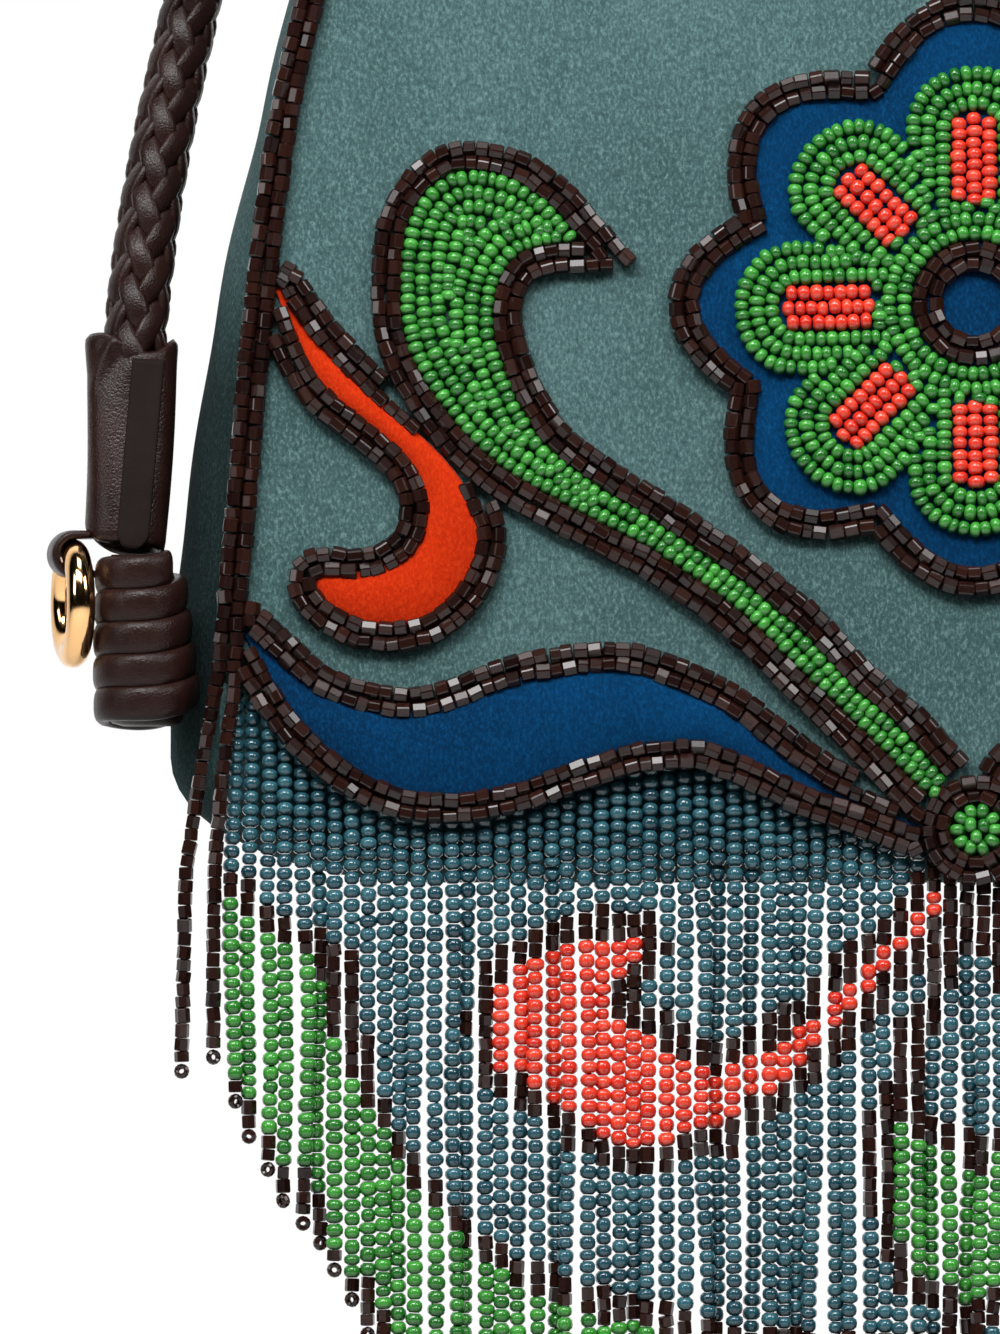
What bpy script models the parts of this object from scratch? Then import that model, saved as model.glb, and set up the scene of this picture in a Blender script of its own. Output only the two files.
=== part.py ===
"""A suede shoulder bag with a bead-embroidered flap and a long bead fringe, hanging by its strap.

Metres, +Z up, the front faces -Y. Heights in the constants are above the base of the pouch
and depths are from its middle; the bag_frame empty moves everything so that the origin is
on the underside of the strap's highest point, where the bag hangs.
"""

import math

import bmesh
import bpy
import numpy as np
from mathutils import Matrix, Vector

# Clearances
GAP = 0.0003
PIVOT_GAP = 0.0002

# Pouch
POUCH_HEIGHT = 0.146
BASE_DEPTH = 0.050
MOUTH_DEPTH = 0.026
PANEL_THICKNESS = 0.0018
GUSSET_THICKNESS = 0.0016
GUSSET_SETBACK = 0.0005
LINING_THICKNESS = 0.0007
PANEL_BOTTOM = 0.004
CORNER_RADIUS = 0.012
SIDE_BULGE = 0.0072
MOUTH_BULGE = 0.0010
BACK_PUFF = 0.0045
# Height and half width of the panels, from the rounded corners up to the mouth
PANEL_SIDE = [
    (0.016, 0.1066),
    (0.033, 0.1063),
    (0.056, 0.1048),
    (0.080, 0.1018),
    (0.110, 0.0967),
    (0.146, 0.0900),
]

# Flap
FLAP_THICKNESS = 0.0022
FOLD_RADIUS = 0.006
FLAP_RISE = 0.004
# Height and half width of the flap, from its lower corners up to the fold
FLAP_SIDE = [
    (0.020, 0.1076),
    (0.0335, 0.1072),
    (0.056, 0.1052),
    (0.0796, 0.1032),
    (0.110, 0.0993),
    (0.139, 0.0925),
]
# Distance from the centre line and height of the flap's lower edge
FLAP_EDGE = [
    (0.0, 0.0013),
    (0.0073, 0.0038),
    (0.0149, 0.0056),
    (0.0217, 0.0087),
    (0.0285, 0.0128),
    (0.0346, 0.0159),
    (0.0397, 0.0168),
    (0.0528, 0.0148),
    (0.0623, 0.0110),
    (0.0700, 0.0088),
    (0.0780, 0.0088),
    (0.0870, 0.0118),
    (0.0924, 0.0155),
    (0.0973, 0.0200),
    (0.1014, 0.0249),
    (0.1080, 0.0290),
]

# Magnetic snap between the flap and the front panel
SNAP_RADIUS = 0.007
SNAP_THICKNESS = 0.001
SNAP_HEIGHT = 0.048

# Ornament
SUEDE_INLAY = 0.0007
BEAD_HEIGHT = 0.0018
BEAD_BAND = 0.0043
EDGE_BEADS_BOTTOM = 0.031
MIDDLE_CUT_TOP = 0.040
FLOWER_TO_LEAF = 0.003323
COMMA_STEM_TOP = 0.060
FLOWER_LOBE = 0.0394
FLOWER_NOTCH = 0.0314
PETAL_REACH = 0.0344
PETAL_HALF_WIDTH = 0.0094
CORE_START = 0.0136
CORE_END = 0.0273
CORE_HALF_WIDTH = 0.0035
FLOWER_EYE = 0.0045
FLOWER_EYE_RING = 0.0089
MEDALLION_HEIGHT = 0.0076
MEDALLION_EYE = 0.0034
MEDALLION_RADIUS = 0.0069
# Runs of points, out from the centre line and up, that meet at the tips of each leaf
WAVE_LEAF = [
    [
        (0.1000, 0.0334),
        (0.0938, 0.0285),
        (0.0825, 0.0242),
        (0.0713, 0.0262),
        (0.0577, 0.0299),
        (0.0441, 0.0289),
        (0.0330, 0.0223),
        (0.0166, 0.0094),
    ],
    [
        (0.0166, 0.0094),
        (0.0285, 0.0162),
        (0.0397, 0.0205),
        (0.0531, 0.0192),
        (0.0668, 0.0146),
        (0.0780, 0.0136),
        (0.0895, 0.0190),
        (0.1000, 0.0334),
    ],
]
FLAME_LEAF = [
    [
        (0.0968, 0.0820),
        (0.0920, 0.0759),
        (0.0827, 0.0664),
        (0.0749, 0.0585),
        (0.0706, 0.0496),
        (0.0744, 0.0397),
        (0.0830, 0.0370),
        (0.0928, 0.0431),
    ],
    [
        (0.0928, 0.0431),
        (0.0848, 0.0438),
        (0.0785, 0.0480),
        (0.0772, 0.0555),
        (0.0807, 0.0617),
        (0.0879, 0.0682),
        (0.0932, 0.0740),
        (0.0968, 0.0820),
    ],
]
COMMA_LEAF = [
    [
        (0.0552, 0.0906),
        (0.0604, 0.0965),
        (0.0665, 0.1000),
        (0.0738, 0.1004),
        (0.0790, 0.0950),
        (0.0807, 0.0863),
        (0.0799, 0.0770),
        (0.0755, 0.0685),
        (0.0669, 0.0593),
        (0.0531, 0.0512),
        (0.0410, 0.0440),
        (0.0285, 0.0344),
        (0.0149, 0.0208),
        (0.0070, 0.0133),
    ],
    [
        (0.0070, 0.0133),
        (0.0045, 0.0149),
    ],
    [
        (0.0045, 0.0149),
        (0.0127, 0.0235),
        (0.0262, 0.0370),
        (0.0397, 0.0477),
        (0.0531, 0.0563),
        (0.0610, 0.0628),
        (0.0661, 0.0723),
        (0.0679, 0.0810),
        (0.0655, 0.0880),
        (0.0604, 0.0904),
        (0.0552, 0.0906),
    ],
]

# Fringe
STRAND_COUNT = 90
STRAND_WIDTH = 0.0018
STRAND_THICKNESS = 0.0016
EDGE_STRANDS = 2
EDGE_STRAND_LENGTH = 0.0262
FRINGE_OVERHANG = 0.0008
FRINGE_PIVOT = -0.004
FRINGE_SIDE_LENGTH = 0.0308
FRINGE_CENTRE_LENGTH = 0.0948
FRINGE_CURVE = 3.47
HEADER = 0.0014
FRINGE_SECTIONS = 8

# Strap and its hardware
STRAP_DIAMETER = 0.0084
STRAP_APEX = 0.365
STRAP_SPACING = 0.021
SLEEVE_TOP = (0.1188, -0.0130, 0.0784)
SLEEVE_BOTTOM = (0.1191, -0.0205, 0.0476)
SLEEVE_TOP_WIDTH = 0.0130
SLEEVE_BOTTOM_WIDTH = 0.0115
SLEEVE_FLATNESS = 0.74
SLEEVE_RIM = 0.0005
KNOT_RADIUS = 0.0076
KNOT_TOP_RADIUS = 0.0062
KNOT_PLACE = (0.1170, -0.0230)
KNOT_BOTTOM = 0.0227
KNOT_TURNS = 5
KNOT_TURN_HEIGHT = 0.0047
KNOT_GROOVE = 0.0007
RING_RADIUS = 0.00695
RING_WIRE_RADIUS = 0.0017
RING_PLACE = (0.1281, -0.0200, 0.0396)
RING_TURN = 73.0
LOOP_WIDTH = 0.0060
LOOP_THICKNESS = 0.0011
LOOP_SLACK = 0.00095
TAB_WIDTH = 0.012
TAB_THICKNESS = 0.002
TAB_HEIGHT = 0.031
TAB_BACK = 0.0
TAB_FRONT = -0.0130
# Distance from the centre line, depth and height along the strap, from a sleeve to the top
STRAP_ROUTE = [
    (0.1188, -0.0128, 0.0794),
    (0.1166, -0.0080, 0.0946),
    (0.1138, -0.0025, 0.1097),
    (0.1106, 0.0030, 0.1248),
    (0.1068, 0.0090, 0.1450),
    (0.1022, 0.0138, 0.1700),
    (0.0976, 0.0168, 0.1950),
    (0.0926, 0.0180, 0.2200),
    (0.0866, 0.0180, 0.2480),
    (0.0790, 0.0180, 0.2760),
    (0.0690, 0.0180, 0.3020),
    (0.0560, 0.0180, 0.3260),
    (0.0400, 0.0180, 0.3470),
    (0.0210, 0.0180, 0.3605),
]

# Worked out from the sizes above
TILT = math.atan((BASE_DEPTH - MOUTH_DEPTH) / 2 / POUCH_HEIGHT)
FLAP_TOP = POUCH_HEIGHT + FLAP_RISE
FLAP_CLEARANCE = 3 * GAP + 2 * SNAP_THICKNESS
PANEL_TO_FACE = FLAP_THICKNESS + FLAP_CLEARANCE
FACE_Y = -(BASE_DEPTH / 2 + (PANEL_THICKNESS + PANEL_TO_FACE) / math.cos(TILT))
HOOK_HEIGHT = STRAP_APEX - STRAP_DIAMETER / 2
FLAP_MIDDLE = -FLAP_THICKNESS / 2


def face_point(height, normal):
    """Depth and height of a point on the flap's slanted face, lifted off it along its normal."""
    y = FACE_Y + height * math.sin(TILT) - normal * math.cos(TILT)
    return y, height * math.cos(TILT) + normal * math.sin(TILT)


HINGE = (
    MOUTH_DEPTH / 2 + PANEL_THICKNESS / 2,
    POUCH_HEIGHT + FLAP_THICKNESS / 2 + GAP,
)
FRINGE_HINGE = face_point(FRINGE_PIVOT, FLAP_MIDDLE)
STRAND_GAPS = STRAND_COUNT + 2 * EDGE_STRANDS - 1
STRAND_PITCH = 2 * (FLAP_EDGE[-1][0] + FRINGE_OVERHANG) / STRAND_GAPS


def principled(name, colour, roughness, metallic=0.0):
    """A material of one sRGB hex colour."""
    channels = [int(colour[i : i + 2], 16) / 255 for i in (0, 2, 4)]
    linear = [c / 12.92 if c <= 0.04045 else ((c + 0.055) / 1.055) ** 2.4 for c in channels]
    material = bpy.data.materials.new(name)
    material.use_nodes = True
    shader = material.node_tree.nodes["Principled BSDF"]
    shader.inputs["Base Color"].default_value = (*linear, 1.0)
    shader.inputs["Roughness"].default_value = roughness
    shader.inputs["Metallic"].default_value = metallic
    material.diffuse_color = (*linear, 1.0)
    return material


def clear_scene():
    for obj in list(bpy.data.objects):
        bpy.data.objects.remove(obj)


def collection(name):
    made = bpy.data.collections.new(name)
    bpy.context.scene.collection.children.link(made)
    return made


def empty(name, parent=None, location=(0, 0, 0), rotation=(0, 0, 0)):
    made = bpy.data.objects.new(name, None)
    made.empty_display_size = 0.01
    made.location = location
    made.rotation_euler = rotation
    made.parent = parent
    BAG.objects.link(made)
    return made


def finish(obj, parent, look, location=(0, 0, 0)):
    """Give a shape its look, its parent and its collection, and shade its round sides smooth."""
    obj.location = location
    obj.parent = parent
    obj.data.materials.clear()
    obj.data.materials.append(principled(obj.name + "_" + look[0], *look[1:]))
    obj.data.shade_smooth()
    obj.data.set_sharp_from_angle(angle=math.radians(35))
    BAG.objects.link(obj)
    return obj


def mesh_object(name, bm):
    mesh = bpy.data.meshes.new(name)
    bm.to_mesh(mesh)
    bm.free()
    return bpy.data.objects.new(name, mesh)


def side_at(points, height):
    """Half width at a height, read along a smooth line through (height, half width) points."""
    heights, widths = np.array(points).T
    slopes = np.gradient(widths, heights)
    height = min(max(height, heights[0]), heights[-1])
    i = min(int(np.searchsorted(heights, height, side="right")) - 1, len(heights) - 2)
    step = heights[i + 1] - heights[i]
    t = (height - heights[i]) / step
    return float(
        (2 * t**3 - 3 * t**2 + 1) * widths[i]
        + (t**3 - 2 * t**2 + t) * step * slopes[i]
        + (3 * t**2 - 2 * t**3) * widths[i + 1]
        + (t**3 - t**2) * step * slopes[i + 1]
    )


def smooth_run(points, steps):
    """Points on a Catmull-Rom curve through the given points, the last one left out."""
    points = np.array(points, float)
    before = np.vstack([2 * points[:1] - points[1:2], points[:-2]])
    after = np.vstack([points[2:], 2 * points[-1:] - points[-2:-1]])
    first, last = points[:-1], points[1:]
    run = []
    for t in np.arange(steps) / steps:
        run.append(
            0.5
            * (
                2 * first
                + (last - before) * t
                + (2 * before - 5 * first + 4 * last - after) * t**2
                + (3 * first - before - 3 * last + after) * t**3
            )
        )
    return np.stack(run, axis=1).reshape(-1, points.shape[1])


def evenly_spaced(points, spacing):
    """The same line with a point about every so often, its ends kept."""
    along = np.concatenate([[0], np.cumsum(np.linalg.norm(np.diff(points, axis=0), axis=1))])
    marks = np.linspace(0, along[-1], int(round(along[-1] / spacing)) + 1)
    return np.column_stack([np.interp(marks, along, values) for values in points.T])


def leaf_outline(runs, side, steps=2):
    """The closed outline of a leaf, on the left (-1) or right (1) of the centre line."""
    outline = np.vstack([smooth_run(run, steps if len(run) > 2 else 1) for run in runs])
    return outline * (side, 1)


def grown(outline, distance, mitre=1.8):
    """A closed outline moved outwards by a distance, with its sharp corners cut short."""
    outline = np.array(outline, float)
    ahead = np.roll(outline, -1, axis=0) - outline
    ahead /= np.linalg.norm(ahead, axis=1)[:, None]
    behind = np.roll(ahead, 1, axis=0)
    x, y = outline.T
    turn = np.sign(np.sum(x * np.roll(y, -1) - y * np.roll(x, -1)))
    normal = turn * np.column_stack([(ahead + behind)[:, 1], -(ahead + behind)[:, 0]])
    normal /= np.linalg.norm(normal, axis=1)[:, None]
    across = np.abs(ahead[:, 0] * normal[:, 1] - ahead[:, 1] * normal[:, 0])
    return outline + normal * distance * np.minimum(1 / np.maximum(across, 1e-6), mitre)[:, None]


def circle(radius, centre=(0, 0), steps=18):
    angles = np.arange(steps) * 2 * math.pi / steps
    return np.column_stack([np.cos(angles), np.sin(angles)]) * radius + centre


def plate(name, outlines, low, high):
    """A flat plate in the XY plane between two heights: an outline, and the holes in it."""
    curve = bpy.data.curves.new(name, "CURVE")
    curve.dimensions = "2D"
    curve.fill_mode = "BOTH"
    curve.extrude = (high - low) / 2
    for outline in outlines:
        spline = curve.splines.new("POLY")
        spline.points.add(len(outline) - 1)
        for point, (x, y) in zip(spline.points, outline):
            point.co = (x, y, 0, 1)
        spline.use_cyclic_u = True
    guide = bpy.data.objects.new(name + "_outline", curve)
    bpy.context.scene.collection.objects.link(guide)
    graph = bpy.context.evaluated_depsgraph_get()
    mesh = bpy.data.meshes.new_from_object(guide.evaluated_get(graph))
    bpy.data.objects.remove(guide)
    bm = bmesh.new()
    bm.from_mesh(mesh)
    bpy.data.meshes.remove(mesh)
    bmesh.ops.remove_doubles(bm, verts=bm.verts, dist=1e-6)
    bmesh.ops.translate(bm, verts=bm.verts, vec=(0, 0, (low + high) / 2))
    return mesh_object(name, bm)


def cut(obj, *cutters):
    for cutter in cutters:
        boolean = obj.modifiers.new("cut_" + cutter.name, "BOOLEAN")
        boolean.operation = "DIFFERENCE"
        boolean.solver = "EXACT"
        boolean.object = cutter
    return obj


def cutter_plate(name, outlines, parent):
    """A cutter that reaches through everything sewn on the flap."""
    obj = plate(name, outlines, -BEAD_HEIGHT, 3 * BEAD_HEIGHT)
    obj.parent = parent
    obj.hide_render = True
    obj.display_type = "WIRE"
    CUTTERS.objects.link(obj)
    return obj


def sheet(name, columns, rows, place, thickness):
    """A grid bent by place(u, v), u and v from 0 to 1, with its thickness half on each side."""
    bm = bmesh.new()
    bmesh.ops.create_grid(bm, x_segments=columns, y_segments=rows, size=0.5)
    for vert in bm.verts:
        vert.co = place(vert.co.x + 0.5, vert.co.y + 0.5)
    obj = mesh_object(name, bm)
    solid = obj.modifiers.new("thickness", "SOLIDIFY")
    solid.thickness = thickness
    solid.offset = 0
    return obj


def half_depth(height):
    """Half the inside depth between the panels."""
    return BASE_DEPTH / 2 - height * math.tan(TILT)


def panel_outline():
    """The panels' outline from the left of the mouth down, round the base and up to the right."""
    heights = np.linspace(POUCH_HEIGHT, PANEL_BOTTOM + CORNER_RADIUS, 9)[:-1]
    left = [(-side_at(PANEL_SIDE, h), h) for h in heights]
    corner = []
    centre = side_at(PANEL_SIDE, PANEL_BOTTOM + CORNER_RADIUS) - CORNER_RADIUS
    for angle in np.linspace(0, math.pi / 2, 5):
        x = -centre - CORNER_RADIUS * math.cos(angle)
        corner.append((x, PANEL_BOTTOM + CORNER_RADIUS * (1 - math.sin(angle))))
    base = [(x, PANEL_BOTTOM) for x in np.linspace(-centre, centre, 8)[1:-1]]
    half = left + corner
    return np.array(half + base + [(-x, h) for x, h in reversed(half)])


def build_front_panel(parent):
    outline = panel_outline() * (1, 1 / math.cos(TILT))
    high = -PANEL_TO_FACE
    obj = plate("front_panel", [outline], high - PANEL_THICKNESS, high)
    return finish(obj, parent, SUEDE)


def build_back_panel(parent):
    outline = panel_outline()
    heights = sorted({round(h, 9) for _, h in outline})
    widths = [max(x for x, h in outline if abs(h - z) < 1e-6) for z in heights]

    def place(u, v):
        row = min(int(round(v * (len(heights) - 1))), len(heights) - 1)
        across, up = 2 * u - 1, (heights[row] - PANEL_BOTTOM) / (POUCH_HEIGHT - PANEL_BOTTOM)
        puff = BACK_PUFF * (1 - across**4) * math.sin(math.pi * up) ** 0.8 if 0 < up < 1 else 0
        depth = half_depth(heights[row]) + PANEL_THICKNESS / 2 + GAP + puff
        return Vector((across * widths[row], depth, heights[row]))

    obj = sheet("back_panel", 10, len(heights) - 1, place, PANEL_THICKNESS)
    return finish(obj, parent, SUEDE)


def gusset_bulge(height, flatness):
    """How far the gusset swells at mid depth: the sides by height, the base by its own drop."""
    up = min(max(height / POUCH_HEIGHT, 0), 1)
    side = MOUTH_BULGE + (SIDE_BULGE - MOUTH_BULGE) * math.sin(math.pi / 2 * (1 - up))
    return side * (1 - flatness) + PANEL_BOTTOM * flatness


def gusset_point(outline, normals, i, across):
    """A point on the gusset's mid surface beside outline point i, across from -1 to 1."""
    x, height = outline[i]
    nx, nz = normals[i]
    out = gusset_bulge(height, nz**2) * (1 - across**2) - GUSSET_THICKNESS / 2
    depth = across * (half_depth(height) - GUSSET_SETBACK - GAP)
    return Vector((x + nx * out, depth, height + nz * out))


def outline_normals(outline):
    """Outward normals of an open outline that runs down, round and up."""
    along = np.gradient(outline, axis=0)
    along /= np.linalg.norm(along, axis=1)[:, None]
    return np.column_stack([along[:, 1], -along[:, 0]])


def build_gusset(parent):
    outline = panel_outline()
    normals = outline_normals(outline)
    last = len(outline) - 1

    def place(u, v):
        return gusset_point(outline, normals, int(round(u * last)), 2 * v - 1)

    obj = sheet("gusset", last, 4, place, GUSSET_THICKNESS)
    return finish(obj, parent, SUEDE)


def build_lining(parent):
    """An open pocket of thin cloth, just inside the gusset and the panels."""
    outline = panel_outline()
    normals = outline_normals(outline)
    inset = GUSSET_THICKNESS + GAP
    inner = outline - normals * inset
    inner[[0, -1], 1] = POUCH_HEIGHT
    obj = plate("lining", [inner], -1, 1)
    bm = bmesh.new()
    bm.from_mesh(obj.data)
    mouth = [f for f in bm.faces if all(v.co.y > POUCH_HEIGHT - 1e-5 for v in f.verts)]
    bmesh.ops.delete(bm, geom=mouth, context="FACES_ONLY")
    for vert in bm.verts:
        x, height, side = vert.co
        vert.co = (x, -math.copysign(half_depth(height) - GAP, side), height)
    bm.to_mesh(obj.data)
    bm.free()
    solid = obj.modifiers.new("thickness", "SOLIDIFY")
    solid.thickness = LINING_THICKNESS
    solid.offset = -1
    return finish(obj, parent, LINING)


def build_flap(hinge):
    """The flap: from its hinge over the mouth, round the fold and down to its shaped edge."""
    edge_out, edge_up = np.array(FLAP_EDGE).T
    fold_height = (FLAP_TOP - FLAP_THICKNESS / 2 - FOLD_RADIUS) / math.cos(TILT)
    centre_y, centre_z = face_point(fold_height, FLAP_MIDDLE - FOLD_RADIUS)
    top_rows, fold_rows, face_rows = 3, 4, 4
    rows = top_rows + fold_rows + face_rows
    spread = FOLD_RADIUS * (math.pi / 2 + TILT)

    def place(u, v):
        across, row = 2 * u - 1, int(round(v * rows))
        if row <= top_rows:
            t = row / top_rows
            y = HINGE[0] + (centre_y - HINGE[0]) * t
            z = HINGE[1] + (centre_z + FOLD_RADIUS - HINGE[1]) * math.sin(math.pi / 2 * t)
            return Vector((across * side_at(FLAP_SIDE, POUCH_HEIGHT), y, z))
        if row <= top_rows + fold_rows:
            turn = (row - top_rows) / fold_rows * spread / FOLD_RADIUS
            y = centre_y - FOLD_RADIUS * math.sin(turn)
            z = centre_z + FOLD_RADIUS * math.cos(turn)
            return Vector((across * side_at(FLAP_SIDE, z), y, z))
        t = (row - top_rows - fold_rows) / face_rows
        edge = float(np.interp(abs(across) * side_at(FLAP_SIDE, edge_up[-1]), edge_out, edge_up))
        height = fold_height + (edge - fold_height) * t
        y, z = face_point(height, FLAP_MIDDLE)
        return Vector((across * side_at(FLAP_SIDE, height), y, z))

    obj = sheet("flap_panel", 32, rows, place, FLAP_THICKNESS)
    return finish(obj, hinge, SUEDE, location=(0, -HINGE[0], -HINGE[1]))


def build_snap(front, face):
    """Two thin magnet discs, one on the front panel and one on the flap's inside."""
    bottoms = (-PANEL_TO_FACE + GAP, -PANEL_TO_FACE + 2 * GAP + SNAP_THICKNESS)
    for name, parent, low in zip(("snap_base", "snap_cap"), (front, face), bottoms):
        disc = circle(SNAP_RADIUS, (0, SNAP_HEIGHT))
        finish(plate(name, [disc], low, low + SNAP_THICKNESS), parent, NICKEL)


def flap_side_line(side, inset):
    """Points down the flap's side, moved inwards."""
    heights = np.linspace(FLAP_SIDE[-1][0], EDGE_BEADS_BOTTOM, 9)
    return np.array([(side_at(FLAP_SIDE, h) - inset, h) for h in heights]) * (side, 1)


def build_edge_beads(face, side, hand):
    outer, inner = flap_side_line(side, GAP), flap_side_line(side, BEAD_BAND)
    obj = plate("edge_beads_" + hand, [np.vstack([outer, inner[::-1]])], GAP, GAP + BEAD_HEIGHT)
    finish(obj, face, BROWN_BEADS)
    line = flap_side_line(side, BEAD_BAND + GAP)
    far = 2 * side_at(FLAP_SIDE, 0)
    ends = [(side * far, line[-1][1] - far), (side * far, line[0][1])]
    below = [(line[-1][0], line[-1][1] - far)]
    return cutter_plate("edge_cutter_" + hand, [np.vstack([line, below, ends])], face)


def build_leaf(face, name, runs, side, hand, looks, inlay, cutters):
    """A leaf-shaped field inside a band two beads wide, cut short where it meets its cutters."""
    field = leaf_outline(runs, side)
    top = GAP + (SUEDE_INLAY if inlay else BEAD_HEIGHT)
    finish(plate(f"{name}_{hand}", [field], GAP, top), face, looks)
    band = [grown(field, BEAD_BAND), grown(field, GAP)]
    obj = plate(f"{name}_beads_{hand}", band, GAP, GAP + BEAD_HEIGHT)
    return cut(finish(obj, face, BROWN_BEADS), *cutters)


def build_leaves(face, medallion):
    for side, hand in ((-1, "left"), (1, "right")):
        edge = build_edge_beads(face, side, hand)
        comma = grown(leaf_outline(COMMA_LEAF, side), BEAD_BAND + GAP)
        comma_cutter = cutter_plate("comma_cutter_" + hand, [comma], face)
        middle = cutter_plate("middle_cutter_" + hand, [middle_strip(-side)], face)
        both = (edge, comma_cutter, medallion, middle)
        build_leaf(face, "comma_leaf", COMMA_LEAF, side, hand, GREEN_BEADS, False, both[2:])
        build_leaf(face, "wave_leaf", WAVE_LEAF, side, hand, BLUE_SUEDE, True, both)
        build_leaf(face, "flame_leaf", FLAME_LEAF, side, hand, ORANGE_SUEDE, True, both[:2])


def middle_strip(side):
    """The far half of the flap's middle, which keeps the two sides' bands apart."""
    near, far = side * -GAP / 2, side * MEDALLION_RADIUS * 3
    low, high = -abs(far), MIDDLE_CUT_TOP
    return np.array([(near, low), (far, low), (far, high), (near, high)])


def flower_height():
    """Height of the flower's centre, its outline a set way clear of the comma leaves' stems."""
    reach = FLOWER_LOBE + BEAD_BAND + FLOWER_TO_LEAF
    band = grown(leaf_outline(COMMA_LEAF, 1), BEAD_BAND)
    stem = [(x, z) for x, z in band if x < reach and z < COMMA_STEM_TOP]
    return max(z + math.sqrt(reach**2 - x**2) for x, z in stem)


def lobes(lobe, notch, steps=7):
    """Eight round lobes about the flower's centre, with a sharp notch between each two."""
    points = []
    for k in range(8):
        for t in np.linspace(-1, 1, steps, endpoint=False):
            angle = math.radians(45 * k + 22.5 * t)
            reach = notch + (lobe - notch) * math.sqrt(1 - abs(t) ** 2.2)
            points.append((reach * math.sin(angle), reach * math.cos(angle)))
    return np.array(points) + (0, flower_height())


def petals():
    """The green field: eight round-ended petals that start from a ring."""
    points = []
    valley = PETAL_HALF_WIDTH / math.sin(math.radians(22.5))
    centre = PETAL_REACH - PETAL_HALF_WIDTH
    for k in range(8):
        turn = Matrix.Rotation(math.radians(-45 * k), 2)
        start = math.radians(-22.5)
        points.append(turn @ Vector((valley * math.sin(start), valley * math.cos(start))))
        for angle in np.radians(np.arange(-90, 91, 30)):
            tip = (PETAL_HALF_WIDTH * math.sin(angle), centre + PETAL_HALF_WIDTH * math.cos(angle))
            points.append(turn @ Vector(tip))
    kept = [p for p in points if p.length > valley - PETAL_HALF_WIDTH]
    return np.array([tuple(p) for p in kept]) + (0, flower_height())


def core(k, extra=0.0):
    """One long bead core on petal k, grown by extra all round."""
    middle, half = (CORE_START + CORE_END) / 2, (CORE_END - CORE_START) / 2
    chamfer = CORE_HALF_WIDTH * 0.5
    corners = []
    for sx, sy in ((1, -1), (1, 1), (-1, 1), (-1, -1)):
        pair = [(CORE_HALF_WIDTH - chamfer, half), (CORE_HALF_WIDTH, half - chamfer)]
        for x, y in pair if sx * sy < 0 else pair[::-1]:
            corners.append((sx * x, sy * y))
    turn = Matrix.Rotation(math.radians(-45 * k), 2)
    turned = [turn @ Vector((x, y + middle)) for x, y in grown(order_round(corners), extra)]
    return np.array([tuple(p) for p in turned]) + (0, flower_height())


def order_round(points):
    """The corners of a convex shape in order round its middle."""
    points = np.array(points)
    return points[np.argsort(np.arctan2(points[:, 1], points[:, 0]))]


def build_flower(face):
    middle = (0, flower_height())
    ground_top = GAP + SUEDE_INLAY
    low, high = ground_top + GAP, ground_top + GAP + BEAD_HEIGHT
    ground = lobes(FLOWER_LOBE, FLOWER_NOTCH)
    finish(plate("flower_ground", [ground], GAP, ground_top), face, BLUE_SUEDE)
    band = [grown(ground, BEAD_BAND, 1.0), grown(ground, GAP, 1.0)]
    finish(plate("flower_outline_beads", band, GAP, GAP + BEAD_HEIGHT), face, BROWN_BEADS)
    holes = [core(k, GAP) for k in range(8)]
    field = [petals(), circle(FLOWER_EYE_RING + GAP, middle), *holes]
    finish(plate("petal_beads", field, low, high), face, GREEN_BEADS)
    ring = [circle(FLOWER_EYE_RING, middle), circle(FLOWER_EYE, middle)]
    finish(plate("flower_eye_beads", ring, low, high), face, BROWN_BEADS)
    for k in range(8):
        finish(plate(f"petal_core_{k + 1}", [core(k)], low, high), face, CORAL_BEADS)


def build_medallion(face):
    middle = (0, MEDALLION_HEIGHT)
    high = GAP + BEAD_HEIGHT
    ring = [circle(MEDALLION_RADIUS, middle), circle(MEDALLION_EYE + GAP, middle)]
    finish(plate("medallion_beads", ring, GAP, high), face, BROWN_BEADS)
    finish(plate("medallion_eye", [circle(MEDALLION_EYE, middle)], GAP, high), face, GREEN_BEADS)
    return cutter_plate("medallion_cutter", [circle(MEDALLION_RADIUS + GAP, middle)], face)


def strand_places():
    """Distance of every strand from the centre line, the loose edge strands first and last."""
    half = (STRAND_COUNT - 1) / 2
    inner = (np.arange(STRAND_COUNT) - half) * STRAND_PITCH
    outer = inner[-1] + STRAND_PITCH * np.arange(1, EDGE_STRANDS + 1)
    return np.concatenate([-outer[::-1], inner, outer])


def strand_length(x):
    """How far a strand hangs below the pouch: short at the sides, long in the middle."""
    half = (STRAND_COUNT - 1) / 2 * STRAND_PITCH
    if abs(x) > half + STRAND_PITCH / 2:
        return EDGE_STRAND_LENGTH
    more = 1 - (abs(x) / half) ** FRINGE_CURVE
    return FRINGE_SIDE_LENGTH + (FRINGE_CENTRE_LENGTH - FRINGE_SIDE_LENGTH) * more


def comb(places, bottoms, top, end):
    """The outline of strands side by side, joined along the top by a header."""
    half = STRAND_WIDTH / 2
    points = []
    for x, low in zip(places, bottoms):
        points.append((x - half, top(x) - HEADER))
        if end:
            points += [(x - half, low + end), (x - half / 2, low), (x + half / 2, low)]
            points.append((x + half, low + end))
        else:
            points += [(x - half, low), (x + half, low)]
        points.append((x + half, top(x) - HEADER))
    first, last = places[0] - half, places[-1] + half
    above = [(x, top(x)) for x in [last, *places[::-1], first]]
    return np.array(points + above)


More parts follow.
